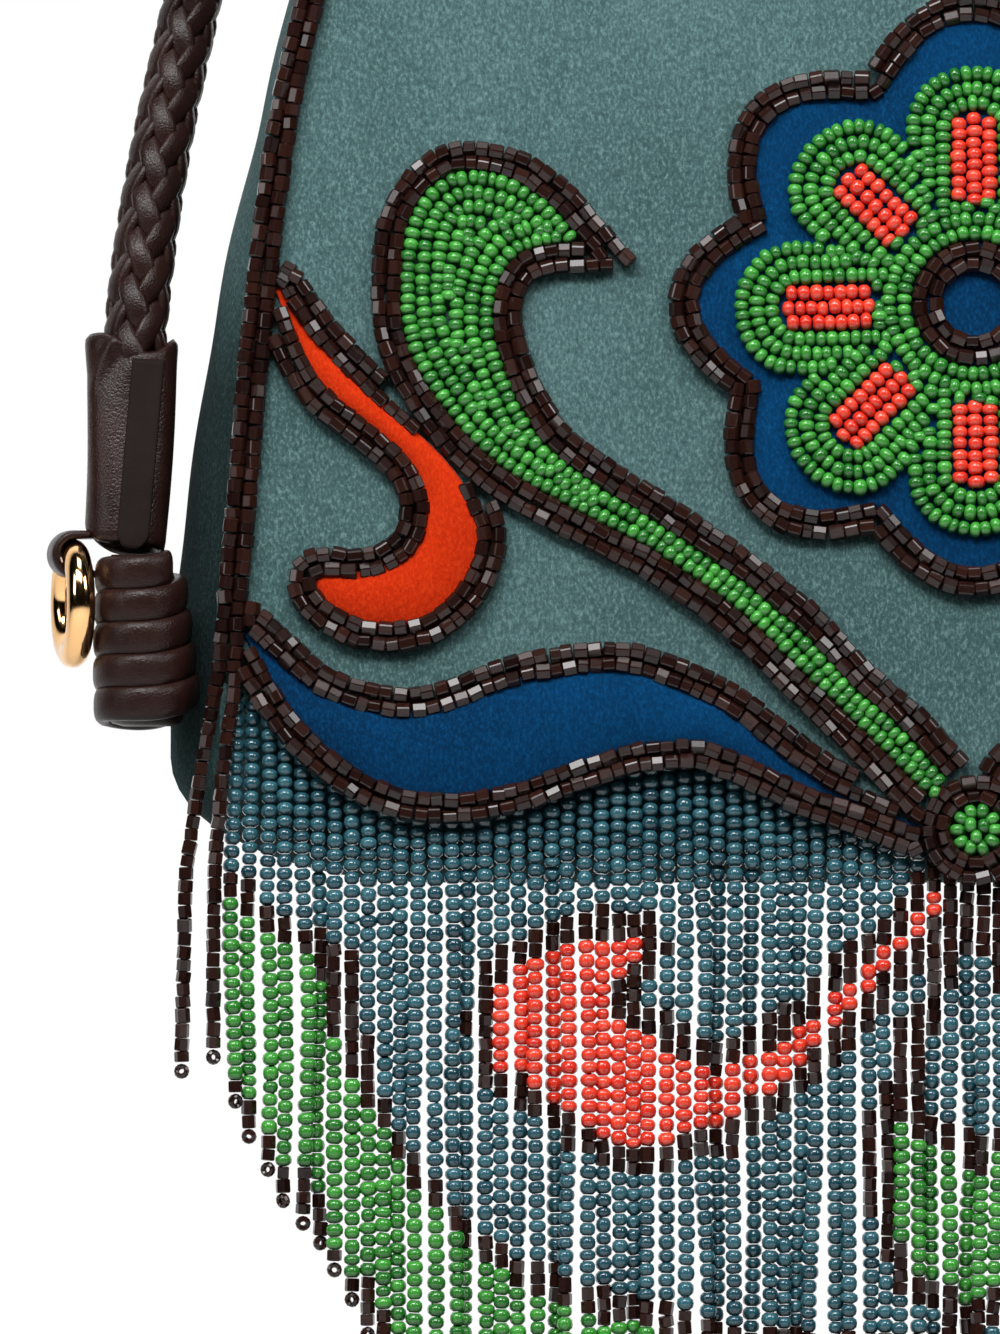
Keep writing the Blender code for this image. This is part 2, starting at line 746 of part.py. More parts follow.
def build_fringe_head(face):
    """The strands' upper ends, sewn under the flap's edge and lying on the pouch's front."""
    edge_out, edge_up = np.array(FLAP_EDGE).T
    low_end = FRINGE_PIVOT + STRAND_THICKNESS / 2 + PIVOT_GAP
    places = strand_places()

    def top(x):
        return float(np.interp(abs(x), edge_out, edge_up)) - 2 * GAP

    for part, hand in ((places[places < 0], "left"), (places[places > 0], "right")):
        outline = comb(part, [low_end] * len(part), top, 0)
        low, high = FLAP_MIDDLE - STRAND_THICKNESS / 2, FLAP_MIDDLE + STRAND_THICKNESS / 2
        obj = plate("fringe_head_" + hand, [outline], low, high)
        finish(obj, face, TEAL_BEADS)


def build_fringe(hinge):
    """The free part of the strands, in sections that swing together below the pouch."""
    top = STRAND_THICKNESS / 4
    for i, part in enumerate(np.array_split(strand_places(), FRINGE_SECTIONS)):
        bottoms = [-strand_length(x) - FRINGE_HINGE[1] for x in part]
        outline = comb(part, bottoms, lambda x: top, STRAND_WIDTH / 2)
        half = STRAND_THICKNESS / 2
        obj = plate(f"fringe_{i + 1}", [outline], -half, half)
        obj.rotation_euler = (math.pi / 2, 0, 0)
        finish(obj, hinge, TEAL_BEADS)


def build_strap(parent):
    """The braided strap, from one sleeve over the hanging point to the other."""
    left = [(-x, y, z) for x, y, z in STRAP_ROUTE]
    apex = [(0.0, STRAP_ROUTE[-1][1], STRAP_APEX)]
    route = left + apex + [(x, y, z) for x, y, z in reversed(STRAP_ROUTE)]
    points = evenly_spaced(np.vstack([smooth_run(route, 8), route[-1:]]), STRAP_SPACING)
    curve = bpy.data.curves.new("strap", "CURVE")
    curve.dimensions = "3D"
    curve.bevel_depth = STRAP_DIAMETER / 2
    curve.bevel_resolution = 2
    curve.use_fill_caps = True
    spline = curve.splines.new("POLY")
    spline.points.add(len(points) - 1)
    for point, place in zip(spline.points, points):
        point.co = (*place, 1)
    obj = bpy.data.objects.new("strap", curve)
    obj.parent = parent
    curve.materials.append(principled("strap_" + LEATHER[0], *LEATHER[1:]))
    BAG.objects.link(obj)


def build_sleeve(parent, side, hand):
    """A flattened leather sleeve over the end of the braid."""
    top, bottom = (Vector((side * p[0], *p[1:])) for p in (SLEEVE_TOP, SLEEVE_BOTTOM))
    axis = top - bottom
    bm = bmesh.new()
    bmesh.ops.create_cone(
        bm,
        cap_ends=True,
        segments=16,
        radius1=SLEEVE_BOTTOM_WIDTH / 2,
        radius2=SLEEVE_TOP_WIDTH / 2,
        depth=axis.length,
    )
    bmesh.ops.scale(bm, vec=(1, SLEEVE_FLATNESS, 1), verts=bm.verts)
    bmesh.ops.rotate(bm, matrix=axis.to_track_quat("Z", "Y").to_matrix(), verts=bm.verts)
    obj = mesh_object("sleeve_" + hand, bm)
    bevel = obj.modifiers.new("rim", "BEVEL")
    bevel.width = SLEEVE_RIM
    bevel.limit_method = "ANGLE"
    bevel.angle_limit = math.radians(60)
    return finish(obj, parent, LEATHER, location=(top + bottom) / 2)


def build_knot(parent, side, hand):
    """The strap's end wound round itself: five round turns, one on the other."""
    profile = []
    for i in range(KNOT_TURNS):
        share = i / (KNOT_TURNS - 1)
        radius = KNOT_RADIUS + (KNOT_TOP_RADIUS - KNOT_RADIUS) * share
        low = i * KNOT_TURN_HEIGHT
        profile += [(radius - KNOT_GROOVE, low), (radius, low + KNOT_TURN_HEIGHT * 0.25)]
        profile.append((radius, low + KNOT_TURN_HEIGHT * 0.75))
    height = KNOT_TURNS * KNOT_TURN_HEIGHT
    profile = [(0, 0), *profile, (KNOT_TOP_RADIUS - KNOT_GROOVE, height), (0, height)]
    bm = bmesh.new()
    verts = [bm.verts.new((r, 0, z)) for r, z in reversed(profile)]
    for first, second in zip(verts, verts[1:]):
        bm.edges.new((first, second))
    obj = mesh_object("coil_knot_" + hand, bm)
    screw = obj.modifiers.new("turn", "SCREW")
    screw.steps = 15
    screw.render_steps = 15
    screw.use_merge_vertices = True
    screw.merge_threshold = 0.00001
    place = (side * KNOT_PLACE[0], KNOT_PLACE[1], KNOT_BOTTOM)
    return finish(obj, parent, LEATHER, location=place)


def build_ring(hinge, side, hand):
    """A round metal ring, hanging from the hinge at the middle of its upper limb."""
    bpy.ops.mesh.primitive_torus_add(
        major_segments=22,
        minor_segments=8,
        major_radius=RING_RADIUS,
        minor_radius=RING_WIRE_RADIUS,
    )
    obj = bpy.context.active_object
    obj.name = "ring_" + hand
    for holder in list(obj.users_collection):
        holder.objects.unlink(obj)
    obj.rotation_euler = (math.pi / 2, 0, ring_angle(side))
    return finish(obj, hinge, GOLD, location=(0, 0, -RING_RADIUS))


def ring_angle(side):
    """How far a ring's plane is turned from the bag's front, about the vertical."""
    return math.radians(RING_TURN) * side


def ring_hinge(parent, side, hand):
    x, y, z = RING_PLACE
    return empty("ring_hinge_" + hand, parent, location=(side * x, y, z + RING_RADIUS))


def build_ring_loop(parent, side, hand):
    """A leather band bent round the ring's upper limb, with both ends towards the knot."""
    inner = RING_WIRE_RADIUS + LOOP_SLACK
    outer = inner + LOOP_THICKNESS
    reach = RING_PLACE[0] - SLEEVE_BOTTOM[0] - SLEEVE_TOP_WIDTH / 2
    turns = np.radians(np.arange(90, 271, 22.5))
    round_out = [(outer * math.cos(a), outer * math.sin(a)) for a in turns]
    round_in = [(inner * math.cos(a), inner * math.sin(a)) for a in turns[::-1]]
    outline = [(reach, outer), *round_out, (reach, -outer), (reach, -inner), *round_in]
    outline.append((reach, inner))
    obj = plate("ring_loop_" + hand, [np.array(outline)], -LOOP_WIDTH / 2, LOOP_WIDTH / 2)
    lean = math.pi / 2 - math.radians(RING_TURN)
    obj.rotation_euler = (math.pi / 2, 0, lean if side < 0 else math.pi - lean)
    x, y, z = RING_PLACE
    return finish(obj, parent, LEATHER, location=(side * x, y, z + RING_RADIUS))


def gusset_side(depth, height):
    """Distance of the gusset's outer face from the centre line."""
    across = depth / (half_depth(height) - GUSSET_SETBACK - GAP)
    return side_at(PANEL_SIDE, height) + gusset_bulge(height, 0) * (1 - across**2)


def build_side_tab(parent, side, hand):
    """A short leather tab, sewn along the gusset's side and holding the back of the knot."""
    x, y = KNOT_PLACE
    reach = KNOT_RADIUS + GAP
    behind = [
        (x + reach * math.cos(angle), y + reach * math.sin(angle))
        for angle in np.radians([85, 100, 115])
    ]
    inside = [
        (gusset_side(depth, TAB_HEIGHT) + GAP, depth)
        for depth in np.linspace(TAB_FRONT, TAB_BACK, 5)
    ]
    outside = (inside[-1][0] + TAB_THICKNESS, TAB_BACK)
    outline = np.array([*behind, *inside, outside]) * (side, 1)
    half = TAB_WIDTH / 2
    obj = plate("side_tab_" + hand, [outline], TAB_HEIGHT - half, TAB_HEIGHT + half)
    return finish(obj, parent, LEATHER)


SUEDE = ("suede", "5B7F80", 0.95)
BLUE_SUEDE = ("suede", "03467F", 0.95)
ORANGE_SUEDE = ("suede", "D43C05", 0.95)
LINING = ("cloth", "3B4A4C", 0.9)
BROWN_BEADS = ("glass", "3B2220", 0.15)
GREEN_BEADS = ("glass", "4CAE40", 0.3)
CORAL_BEADS = ("glass", "F4553A", 0.3)
TEAL_BEADS = ("glass", "2F5F6C", 0.3)
LEATHER = ("leather", "3A2A28", 0.45)
GOLD = ("gilt_brass", "D9A85C", 0.15, 1.0)
NICKEL = ("nickel", "B8B4AC", 0.25, 1.0)

clear_scene()
BAG = collection("beaded_suede_bag")
CUTTERS = collection("cutters")

bag_frame = empty("bag_frame", location=(0, -STRAP_ROUTE[-1][1], -HOOK_HEIGHT))
flap_hinge = empty("flap_hinge", bag_frame, location=(0, *HINGE))
face_turn = (math.pi / 2 - TILT, 0, 0)
body_face = empty("body_face", bag_frame, location=(0, FACE_Y, 0), rotation=face_turn)
flap_face = empty(
    "flap_face", flap_hinge, location=(0, FACE_Y - HINGE[0], -HINGE[1]), rotation=face_turn
)
fringe_hinge = empty(
    "fringe_hinge",
    flap_hinge,
    location=(0, FRINGE_HINGE[0] - HINGE[0], FRINGE_HINGE[1] - HINGE[1]),
)

build_front_panel(body_face)
build_back_panel(bag_frame)
build_gusset(bag_frame)
build_lining(bag_frame)
build_flap(flap_hinge)
build_snap(body_face, flap_face)
build_leaves(flap_face, build_medallion(flap_face))
build_flower(flap_face)
build_fringe_head(flap_face)
build_fringe(fringe_hinge)
build_strap(bag_frame)
for side, hand in ((-1, "left"), (1, "right")):
    build_sleeve(bag_frame, side, hand)
    build_knot(bag_frame, side, hand)
    build_ring(ring_hinge(bag_frame, side, hand), side, hand)
    build_ring_loop(bag_frame, side, hand)
    build_side_tab(bag_frame, side, hand)
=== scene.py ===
import math

import bmesh
import bpy
import numpy as np
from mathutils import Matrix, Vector


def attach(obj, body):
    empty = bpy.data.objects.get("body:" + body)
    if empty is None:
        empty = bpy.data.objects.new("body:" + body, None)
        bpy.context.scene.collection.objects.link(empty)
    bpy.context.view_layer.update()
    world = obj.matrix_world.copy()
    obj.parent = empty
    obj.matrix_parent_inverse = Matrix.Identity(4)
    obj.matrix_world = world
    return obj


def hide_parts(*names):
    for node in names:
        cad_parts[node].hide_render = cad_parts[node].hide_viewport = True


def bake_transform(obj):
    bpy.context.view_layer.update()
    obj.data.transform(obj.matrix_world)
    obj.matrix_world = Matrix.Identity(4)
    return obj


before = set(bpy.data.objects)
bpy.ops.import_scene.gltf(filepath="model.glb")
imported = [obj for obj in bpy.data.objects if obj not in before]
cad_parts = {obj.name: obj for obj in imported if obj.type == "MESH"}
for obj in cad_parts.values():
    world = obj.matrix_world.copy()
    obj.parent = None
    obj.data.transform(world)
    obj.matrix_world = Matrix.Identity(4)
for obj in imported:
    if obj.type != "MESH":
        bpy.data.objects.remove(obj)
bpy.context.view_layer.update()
rng = np.random.default_rng(11)
print("frame loaded")

# The bag's own measures, heights above the base of the pouch and depths from its middle
bag = {
    "shift": (0.0, -0.018, -0.3608),  # from those measures to the row frame
    "tilt": math.atan(0.012 / 0.146),  # lean of the flap's face
    "faceDepth": -0.0319233,  # depth of the flap's face at height 0
    "mouthHeight": 0.146,
    "halfBase": 0.025,
    "crown": 0.0016,  # how far the flap's middle stands out
    "bead": 0.00217,  # a seed bead across
    "cut": 0.00224,  # a cut bead across its corners
}


# Helpers for materials
def rgba(code):
    channels = [int(code[i:i + 2], 16) / 255 for i in (0, 2, 4)]
    return (*(c / 12.92 if c <= 0.04045 else ((c + 0.055) / 1.055) ** 2.4 for c in channels), 1.0)


def setNode(tree, node, **values):
    # Settings by name; sockets by name, or by n and a number; a socket as the value makes a link
    for key, value in values.items():
        if key in node.bl_rna.properties:
            setattr(node, key, value)
            continue
        socket = node.inputs[int(key[1:]) if key[1:].isdigit() else key.replace("_", " ")]
        if isinstance(value, bpy.types.NodeSocket):
            tree.links.new(value, socket)
        else:
            socket.default_value = value


def addNode(tree, kind, output=0, **values):
    node = tree.nodes.new("ShaderNode" + kind)
    setNode(tree, node, **values)
    return node.outputs[output]


def startMaterial(name):
    material = bpy.data.materials.new(name)
    material.use_nodes = True
    return material, material.node_tree


def shade(tree, **values):
    setNode(tree, tree.nodes["Principled BSDF"], **values)


def mixColours(tree, share, first, second, mode="MIX"):
    return addNode(tree, "Mix", 2, data_type="RGBA", blend_type=mode, n0=share, n6=first, n7=second)


def ramp(tree, value, low, high, first=0.0, last=1.0):
    return addNode(tree, "MapRange", Value=value, n1=low, n2=high, n3=first, n4=last)


def noise(tree, scale, detail=2.0, rough=0.5, stretch=(1, 1, 1)):
    place = addNode(tree, "Mapping", Vector=addNode(tree, "TexCoord", "Object"), Scale=stretch)
    return addNode(tree, "TexNoise", Vector=place, Scale=scale, Detail=detail, Roughness=rough)


def suedeMaterial(name, colour, dark, pit, light, sheen, contrast):
    # Brushed suede: a nap laid in patches of about 30 mm, its fibres 0.4 mm long; the fibre speckle is partly
    # the nap's own mottle, partly painted shade in the bump's hollows and painted highlight on its raised
    # fibres
    material, tree = startMaterial(name)
    patches = ramp(tree, noise(tree, 32, 3, 0.55, (1, 1, 0.7)), 0.36, 0.66)
    base = mixColours(tree, patches, rgba(dark), rgba(colour))
    fibres = noise(tree, 2400, 4, 0.7, (1, 1, 0.6))
    # Painted shade where the fibre bump is low (pit tint), painted highlight where it is high (light tint)
    for end, tint in ((0.30, pit), (0.70, light)):
        base = mixColours(tree, ramp(tree, fibres, 0.50, end, 0.0, contrast), base, rgba(tint))
    paintedShade = addNode(tree, "Attribute", "Fac", attribute_name="paintedShade")  # painted shade: darker suede with less sheen where the attribute is set
    shade(tree, Base_Color=mixColours(tree, paintedShade, base, (0.10, 0.10, 0.10, 1.0), "MULTIPLY"),
          Roughness=0.95, Specular_IOR_Level=0.08, Sheen_Roughness=0.4,
          Sheen_Weight=ramp(tree, paintedShade, 0.0, 0.6, sheen, 0.0),
          Normal=addNode(tree, "Bump", Strength=0.6, Distance=0.0003, Height=fibres))
    return material


def beadMaterial(name, dark, colour, roughness, specular=0.5):
    # Pressed glass: each bead a little lighter or darker than the next
    material, tree = startMaterial(name)
    tone = addNode(tree, "Attribute", "Fac", attribute_name="tone")
    shade(tree, Base_Color=mixColours(tree, tone, rgba(dark), rgba(colour)), Roughness=roughness, IOR=1.52,
          Specular_IOR_Level=specular)
    return material


def leatherMaterial(name, dark, colour, roughness, grain, relief, specular):
    # Oiled calf leather: pores about 0.6 mm apart over faint creases
    material, tree = startMaterial(name)
    depth = ramp(tree, noise(tree, 90, 4, 0.6), 0.3, 0.7)
    creases = noise(tree, 420, 3, 0.6)
    place = addNode(tree, "TexCoord", "Object")
    pores = addNode(tree, "TexVoronoi", "Distance", feature="DISTANCE_TO_EDGE", Vector=place, Scale=grain)
    height = addNode(tree, "Math", operation="ADD", n0=ramp(tree, pores, 0.0, 0.25), n1=creases)
    shade(tree, Base_Color=mixColours(tree, depth, rgba(dark), rgba(colour)), Specular_IOR_Level=specular,
          Roughness=ramp(tree, creases, 0.3, 0.7, roughness - 0.06, roughness + 0.08),
          Normal=addNode(tree, "Bump", Strength=relief, Distance=0.00012, Height=height))
    return material


def metalMaterial(name, colour, roughness, scratch):
    # Plated metal, with hairlines about 0.3 mm apart in its polish
    material, tree = startMaterial(name)
    lines = noise(tree, 900, 2, 0.5, (1, 1, 0.15))
    shade(tree, Metallic=1.0, Base_Color=rgba(colour),
          Roughness=ramp(tree, lines, 0.3, 0.7, roughness, roughness + scratch))
    return material


def clothMaterial(name, dark, colour, thread=0.0004):
    # Plain woven cotton: threads 0.4 mm apart each way
    material, tree = startMaterial(name)
    place = addNode(tree, "TexCoord", "Object")
    waves = [addNode(tree, "TexWave", "Fac", bands_direction=axis, Vector=place, Scale=math.pi / 10 / thread)
             for axis in "XZ"]
    height = addNode(tree, "Math", operation="MULTIPLY", n0=waves[0], n1=waves[1])
    # Painted shade: the weave is darker where its bump sinks between the threads
    shade(tree, Base_Color=mixColours(tree, height, rgba(dark), rgba(colour)), Roughness=0.9,
          Sheen_Weight=0.2, Normal=addNode(tree, "Bump", Strength=0.4, Distance=0.0001, Height=height))
    return material


looks = {
    "suede": suedeMaterial("brushedSuedeTeal", "4B6768", "3D5758", "283D3E", "729190", 0.10, 0.75),
    "blueSuede": suedeMaterial("brushedSuedeBlue", "003963", "002A4C", "001C34", "094F80", 0.04, 0.55),
    "orangeSuede": suedeMaterial("brushedSuedeOrange", "C6300A", "B42806", "901C02", "D84818", 0.04, 0.5),
    "brown": beadMaterial("cutGlassBrown", "120706", "2E1711", 0.21, 0.30),
    "green": beadMaterial("pressedGlassGreen", "145B1A", "409937", 0.14),
    "coral": beadMaterial("pressedGlassCoral", "CB2716", "EC4730", 0.14),
    "teal": beadMaterial("pressedGlassTeal", "123541", "33646F", 0.12),
    "leather": leatherMaterial("oiledCalfDarkBrown", "190C0A", "281511", 0.33, 1700, 0.20, 0.19),
    "paint": leatherMaterial("edgePaintMatt", "191210", "211916", 0.6, 3000, 0.1, 0.05),
    "gold": metalMaterial("giltBrassPolished", "E2B47E", 0.08, 0.05),
    "nickel": metalMaterial("nickelPlateSatin", "B8B4AC", 0.30, 0.03),
    "lining": clothMaterial("wovenCottonGrey", "2E3B3D", "46575A"),
}
print("materials made")


# Helpers for shapes
def toRow(points):
    return np.asarray(points, float) + bag["shift"]


def spots(x, y, z):
    return np.stack(np.broadcast_arrays(x, y, z), axis=-1)


def unit(vectors):
    return vectors / np.maximum(np.linalg.norm(vectors, axis=-1, keepdims=True), 1e-12)


def fullTurn(steps):
    return np.arange(steps) * 2 * math.pi / steps


def onFlap(x, up, lift):
    # A point on the flap's face: up the slanted face, lifted along its normal, over a shallow crown
    x, up, lift = np.broadcast_arrays(np.asarray(x, float), np.asarray(up, float), np.asarray(lift, float))
    c, s = math.cos(bag["tilt"]), math.sin(bag["tilt"])
    across = np.clip(1 - (x / 0.112) ** 2, 0, 1)
    rise = np.clip(1 - ((up - 0.072) / 0.078) ** 2, 0, 1)
    out = lift + bag["crown"] * across * rise
    return toRow(spots(x, bag["faceDepth"] + up * s - out * c, up * c + out * s))


def lengthOf(line):
    return np.sum(np.linalg.norm(np.diff(line, axis=0), axis=1))


def marksOn(line):
    return np.concatenate([[0], np.cumsum(np.linalg.norm(np.diff(line, axis=0), axis=1))])


def pointsAt(line, marks, along=None):
    # Points of a line at marks along it, or of values that go with its points
    along = marksOn(line) if along is None else along
    return np.stack([np.interp(marks, along, values) for values in line.T], axis=-1)


def resample(line, spacing):
    total = marksOn(line)[-1]
    return pointsAt(line, np.linspace(0, total, max(int(round(total / spacing)), 1) + 1))


def smoothLine(points, spacing):
    # A Catmull-Rom curve through the points, then points on it at an even spacing
    p = np.asarray(points, float)
    p = np.vstack([2 * p[:1] - p[1:2], p, 2 * p[-1:] - p[-2:-1]])
    a, b, c, d = p[:-3], p[1:-2], p[2:-1], p[3:]
    t = (np.arange(16) / 16)[:, None, None]
    run = 0.5 * (2 * b + (c - a) * t + (2 * a - 5 * b + 4 * c - d) * t**2 + (3 * b - a - 3 * c + d) * t**3)
    return resample(np.vstack([run.transpose(1, 0, 2).reshape(-1, p.shape[1]), c[-1:]]), spacing)


def offsetLine(line, distance):
    # The line moved to its left by a distance, along normals from its neighbours
    step = unit(np.gradient(line, axis=0))
    return line + distance * np.column_stack([-step[:, 1], step[:, 0]])


def inside(points, outline):
    # Even-odd test: how often a ray to the right of each point crosses the outline
    x, z = points[:, 0, None], points[:, 1, None]
    x1, z1 = outline.T
    x2, z2 = np.roll(outline, -1, axis=0).T
    slope = (x2 - x1) / np.where(z2 == z1, 1e-12, z2 - z1)
    return np.sum(((z1 > z) != (z2 > z)) & (x < x1 + (z - z1) * slope), axis=1) % 2 == 1


def distanceTo(points, line):
    # Shortest distance from each point to a line of points
    a, along = line[:-1], line[1:] - line[:-1]
    t = np.einsum("nmk,mk->nm", points[:, None] - a, along) / np.maximum(np.sum(along**2, axis=1), 1e-18)
    near = a + np.clip(t, 0, 1)[:, :, None] * along
    return np.linalg.norm(points[:, None] - near, axis=2).min(axis=1)


def gridFaces(rows, columns, wrap=0):
    # Quads between neighbouring points of a grid, joined round its columns with wrap 1, both ways with 2
    r, c = np.meshgrid(np.arange(rows - (wrap < 2)), np.arange(columns - (wrap < 1)), indexing="ij")
    below, right = (r + 1) % rows * columns, (c + 1) % columns
    return np.stack([r * columns + c, r * columns + right, below + right, below + c], axis=-1).reshape(-1, 4)


def tubeFaces(rings, steps):
    # Quads along a tube of rings, and a cap at each end
    first = np.arange(steps)
    return gridFaces(rings, steps, 1), first[::-1][None, :], (first + (rings - 1) * steps)[None, :]


def copyFaces(groups, count, size):
    # The same faces for each of a number of parts that have this many points each
    start = (np.arange(count) * size)[:, None, None]
    return [(g[None] + start).reshape(-1, g.shape[1]) for g in groups]


def joinParts(parts):
    # One list of points and faces from several
    points, faces, start = [], {}, 0
    for these, groups in parts:
        points.append(these.reshape(-1, 3))
        for group in groups:
            faces.setdefault(group.shape[1], []).append(group + start)
        start += len(points[-1])
    return np.concatenate(points), [np.concatenate(f) for f in faces.values()]


def setAttribute(mesh, name, values):
    mesh.attributes.new(name, "FLOAT", "POINT").data.foreach_set("value", np.asarray(values, np.float32))


def makeObject(name, points, faces, look, smooth=True, tone=None):
    mesh = bpy.data.meshes.new(name)
    corners = [face for group in faces for face in group.tolist()]
    mesh.from_pydata(points.tolist(), [], corners, shade_flat=not smooth)
    mesh.validate()
    if tone is not None:
        setAttribute(mesh, "tone", tone)
    mesh.materials.append(looks[look])
    obj = bpy.data.objects.new(name, mesh)
    bpy.context.scene.collection.objects.link(obj)
    return obj


def turnFacesOut(obj):
    bm = bmesh.new()
    bm.from_mesh(obj.data)
    bmesh.ops.recalc_face_normals(bm, faces=bm.faces)
    bm.to_mesh(obj.data)
    bm.free()


def settle(obj, body, slot, *nodes):
    # The body a piece rides on, its material slot (not used) and the nodes of the frame that it stands for
    if body:
        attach(obj, body)
    if nodes:
        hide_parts(*nodes)


def sheetObject(name, grid, thickness, look, lift=0.0):
    # A sheet of leather: the grid of its outer face, the same grid moved in by its thickness, and its rim
    rows, columns = grid.shape[:2]
    normal = unit(np.cross(np.gradient(grid, axis=1), np.gradient(grid, axis=0)))
    grid = grid + normal * lift
    outside = gridFaces(rows, columns)
    index = np.arange(rows * columns).reshape(rows, columns)
    rim = np.concatenate([index[0, :], index[1:, -1], index[-1, -2::-1], index[-2:0:-1, 0]])
    after, back = np.roll(rim, -1), rows * columns
    wall = np.column_stack([after, rim, rim + back, after + back])
    points = np.concatenate([grid.reshape(-1, 3), (grid - normal * thickness).reshape(-1, 3)])
    return makeObject(name, points, [outside, outside[:, ::-1] + back, wall], look)


def sweep(path, sides, ups, section):
    # A profile carried along a path: section x along sides, section y along ups, one pair for each point
    section = np.broadcast_to(section, (len(path), *np.shape(section)[-2:]))
    return path[:, None] + section[:, :, :1] * sides[:, None] + section[:, :, 1:] * ups[:, None]


def pathFrames(path, reference):
    # Sideways and up vectors at every point of a path, up as near to the reference as can be
    along = unit(np.gradient(path, axis=0))
    up = unit(np.asarray(reference, float) - along * (along @ np.asarray(reference, float))[:, None])
    return np.cross(along, up), up


# Beads
def turnedShape(profile, segments):
    # A profile of (radius, height) turned about the hole's axis, closed at both poles
    (_, low), *rings, (_, high) = profile
    radius, level = np.array(rings, float).T
    turn = fullTurn(segments)
    body = spots(np.outer(radius, np.cos(turn)), np.outer(radius, np.sin(turn)), level[:, None])
    points = np.vstack([(0, 0, low), body.reshape(-1, 3), (0, 0, high)])
    around = np.arange(segments)
    after, base = (around + 1) % segments, 1 + (len(rings) - 1) * segments
    foot = np.column_stack([np.zeros(segments, int), 1 + after, 1 + around])
    head = np.column_stack([np.full(segments, len(points) - 1), base + around, base + after])
    return points, [np.vstack([foot, head]), gridFaces(len(rings), segments, 1) + 1]


def facetedShape(profile, sides, bevel):
    # The same with flat sides and a narrow bevel between them: two points near each corner
    points, faces = turnedShape(profile, 2 * sides)
    index = np.arange(2 * sides)
    angles = (index // 2 + 0.5) * 2 * math.pi / sides + np.where(index % 2, 1, -1) * bevel
    body = points[1:-1].reshape(-1, 2 * sides, 3)
    reach = np.linalg.norm(body[:, :1, :2], axis=2)
    body[:, :, 0], body[:, :, 1] = reach * np.cos(angles), reach * np.sin(angles)
    return points, faces


def torus(segments, steps, radius, wide, tall):
    # A round or oval wire carried round a circle about z
    turn, roll = fullTurn(segments), fullTurn(steps)
    reach = radius + wide * np.cos(roll)
    points = spots(np.outer(np.cos(turn), reach), np.outer(np.sin(turn), reach), tall * np.sin(roll))
    return points.reshape(-1, 3), [gridFaces(segments, steps, 2)[:, ::-1]]


beadShapes = {
    # A rocaille: round sided, flatter along its hole
    "seed": turnedShape(
        [(0, -0.80), (0.62, -0.90), (0.98, -0.52), (1.07, 0), (0.98, 0.52), (0.62, 0.90), (0, 0.80)], 8),
    # A six-sided cut bead with small chamfers at its ends, and a plainer one for the fringe
    "cut": facetedShape([(0, -0.92), (0.84, -0.95), (1, -0.80), (1, 0.80), (0.84, 0.95), (0, 0.92)], 6, 0.10),
    "cutPlain": turnedShape([(0, -0.92), (0.82, -0.95), (0.98, -0.80), (0.98, 0.80), (0.82, 0.95),
                             (0, 0.92)], 6),
    # A bead seen along its hole
    "ring": torus(12, 8, 0.66, 0.36, 0.55),
}


def beadPoints(kind, centres, axes, radii, halves, spins):
    # Each bead's points: its template scaled, turned so that z is the hole's axis, and moved into place
    shape, groups = beadShapes[kind]
    axes = unit(axes)
    side = unit(np.cross(axes, np.where(np.abs(axes[:, 1:2]) > 0.8, (1.0, 0, 0), (0, -1.0, 0))))
    up = np.cross(axes, side)
    c, s = np.cos(spins)[:, None], np.sin(spins)[:, None]
    u, v = side * c + up * s, up * c - side * s
    points = centres[:, None]
    for size, values, vector in zip((radii, radii, halves), shape.T, (u, v, axes)):
        points = points + (size[:, None] * values)[:, :, None] * vector[:, None]
    return points, copyFaces(groups, len(centres), len(shape))


def beadObject(name, look, batches):
    # One mesh from batches of (kind, centres, axes, radii, halves, spins)
    parts = [beadPoints(*batch) for batch in batches]
    tones = [np.repeat(rng.beta(2.2, 2.2, len(points)), points.shape[1]) for points, _ in parts]
    return makeObject(name, *joinParts(parts), look, smooth=look != "brown", tone=np.concatenate(tones))


def sizesFor(count, kind):
    # Radii and turns of beads, with the spread that real ones have
    across, spread = (bag["cut"], 0.035) if kind.startswith("cut") else (bag["bead"], 0.045)
    return across / 2 * rng.normal(1, spread, count), rng.uniform(0, 2 * math.pi, count)


def rowMarks(line, pitch, spread):
    # Middles and lengths of beads strung along a line, each a little longer or shorter than the next
    total = lengthOf(line)
    count = max(int(round(total / pitch)), 1)
    lengths = np.clip(rng.normal(1, spread, count), 0.72, 1.3)
    lengths *= total / lengths.sum()
    ends = np.concatenate([[0], np.cumsum(lengths)])
    middle = (ends[1:] + ends[:-1]) / 2
    axis = pointsAt(line, middle + pitch * 0.3) - pointsAt(line, middle - pitch * 0.3)
    return pointsAt(line, middle), unit(axis), lengths


beadKinds = {
    "brown": {"shape": "cut", "width": bag["cut"], "pitch": 0.00202, "spread": 0.12, "code": 0},
    "green": {"shape": "seed", "width": bag["bead"], "pitch": 0.00152, "spread": 0.09, "code": 1},
    "coral": {"shape": "seed", "width": bag["bead"], "pitch": 0.00166, "spread": 0.06, "code": 2},
}
# Beads sewn on the flap so far: across, up, axis across, axis up, length, width, lift, code of the kind
board = {"beads": np.zeros((9000, 8)), "count": 0}


def sewn():
    return board["beads"][:board["count"]]


def apart(away, axis, long, wide):
    # Distances as shares of those at which two beads touch, longer along the hole than across it
    along = away @ axis if axis.ndim == 1 else np.sum(away * axis, axis=1)
    return np.hypot(along / long, (away[:, 0] * axis[..., 1] - away[:, 1] * axis[..., 0]) / wide)


def crowding(place, axis, length, width):
    # How far every sewn bead is, as seen by either bead
    beads = sewn()
    away = beads[:, :2] - place
    long, wide = (beads[:, 4] + length) / 2, (beads[:, 5] + width) / 2
    return (apart(away, axis, long, wide) + apart(away, beads[:, 2:4], long, wide)) / 2


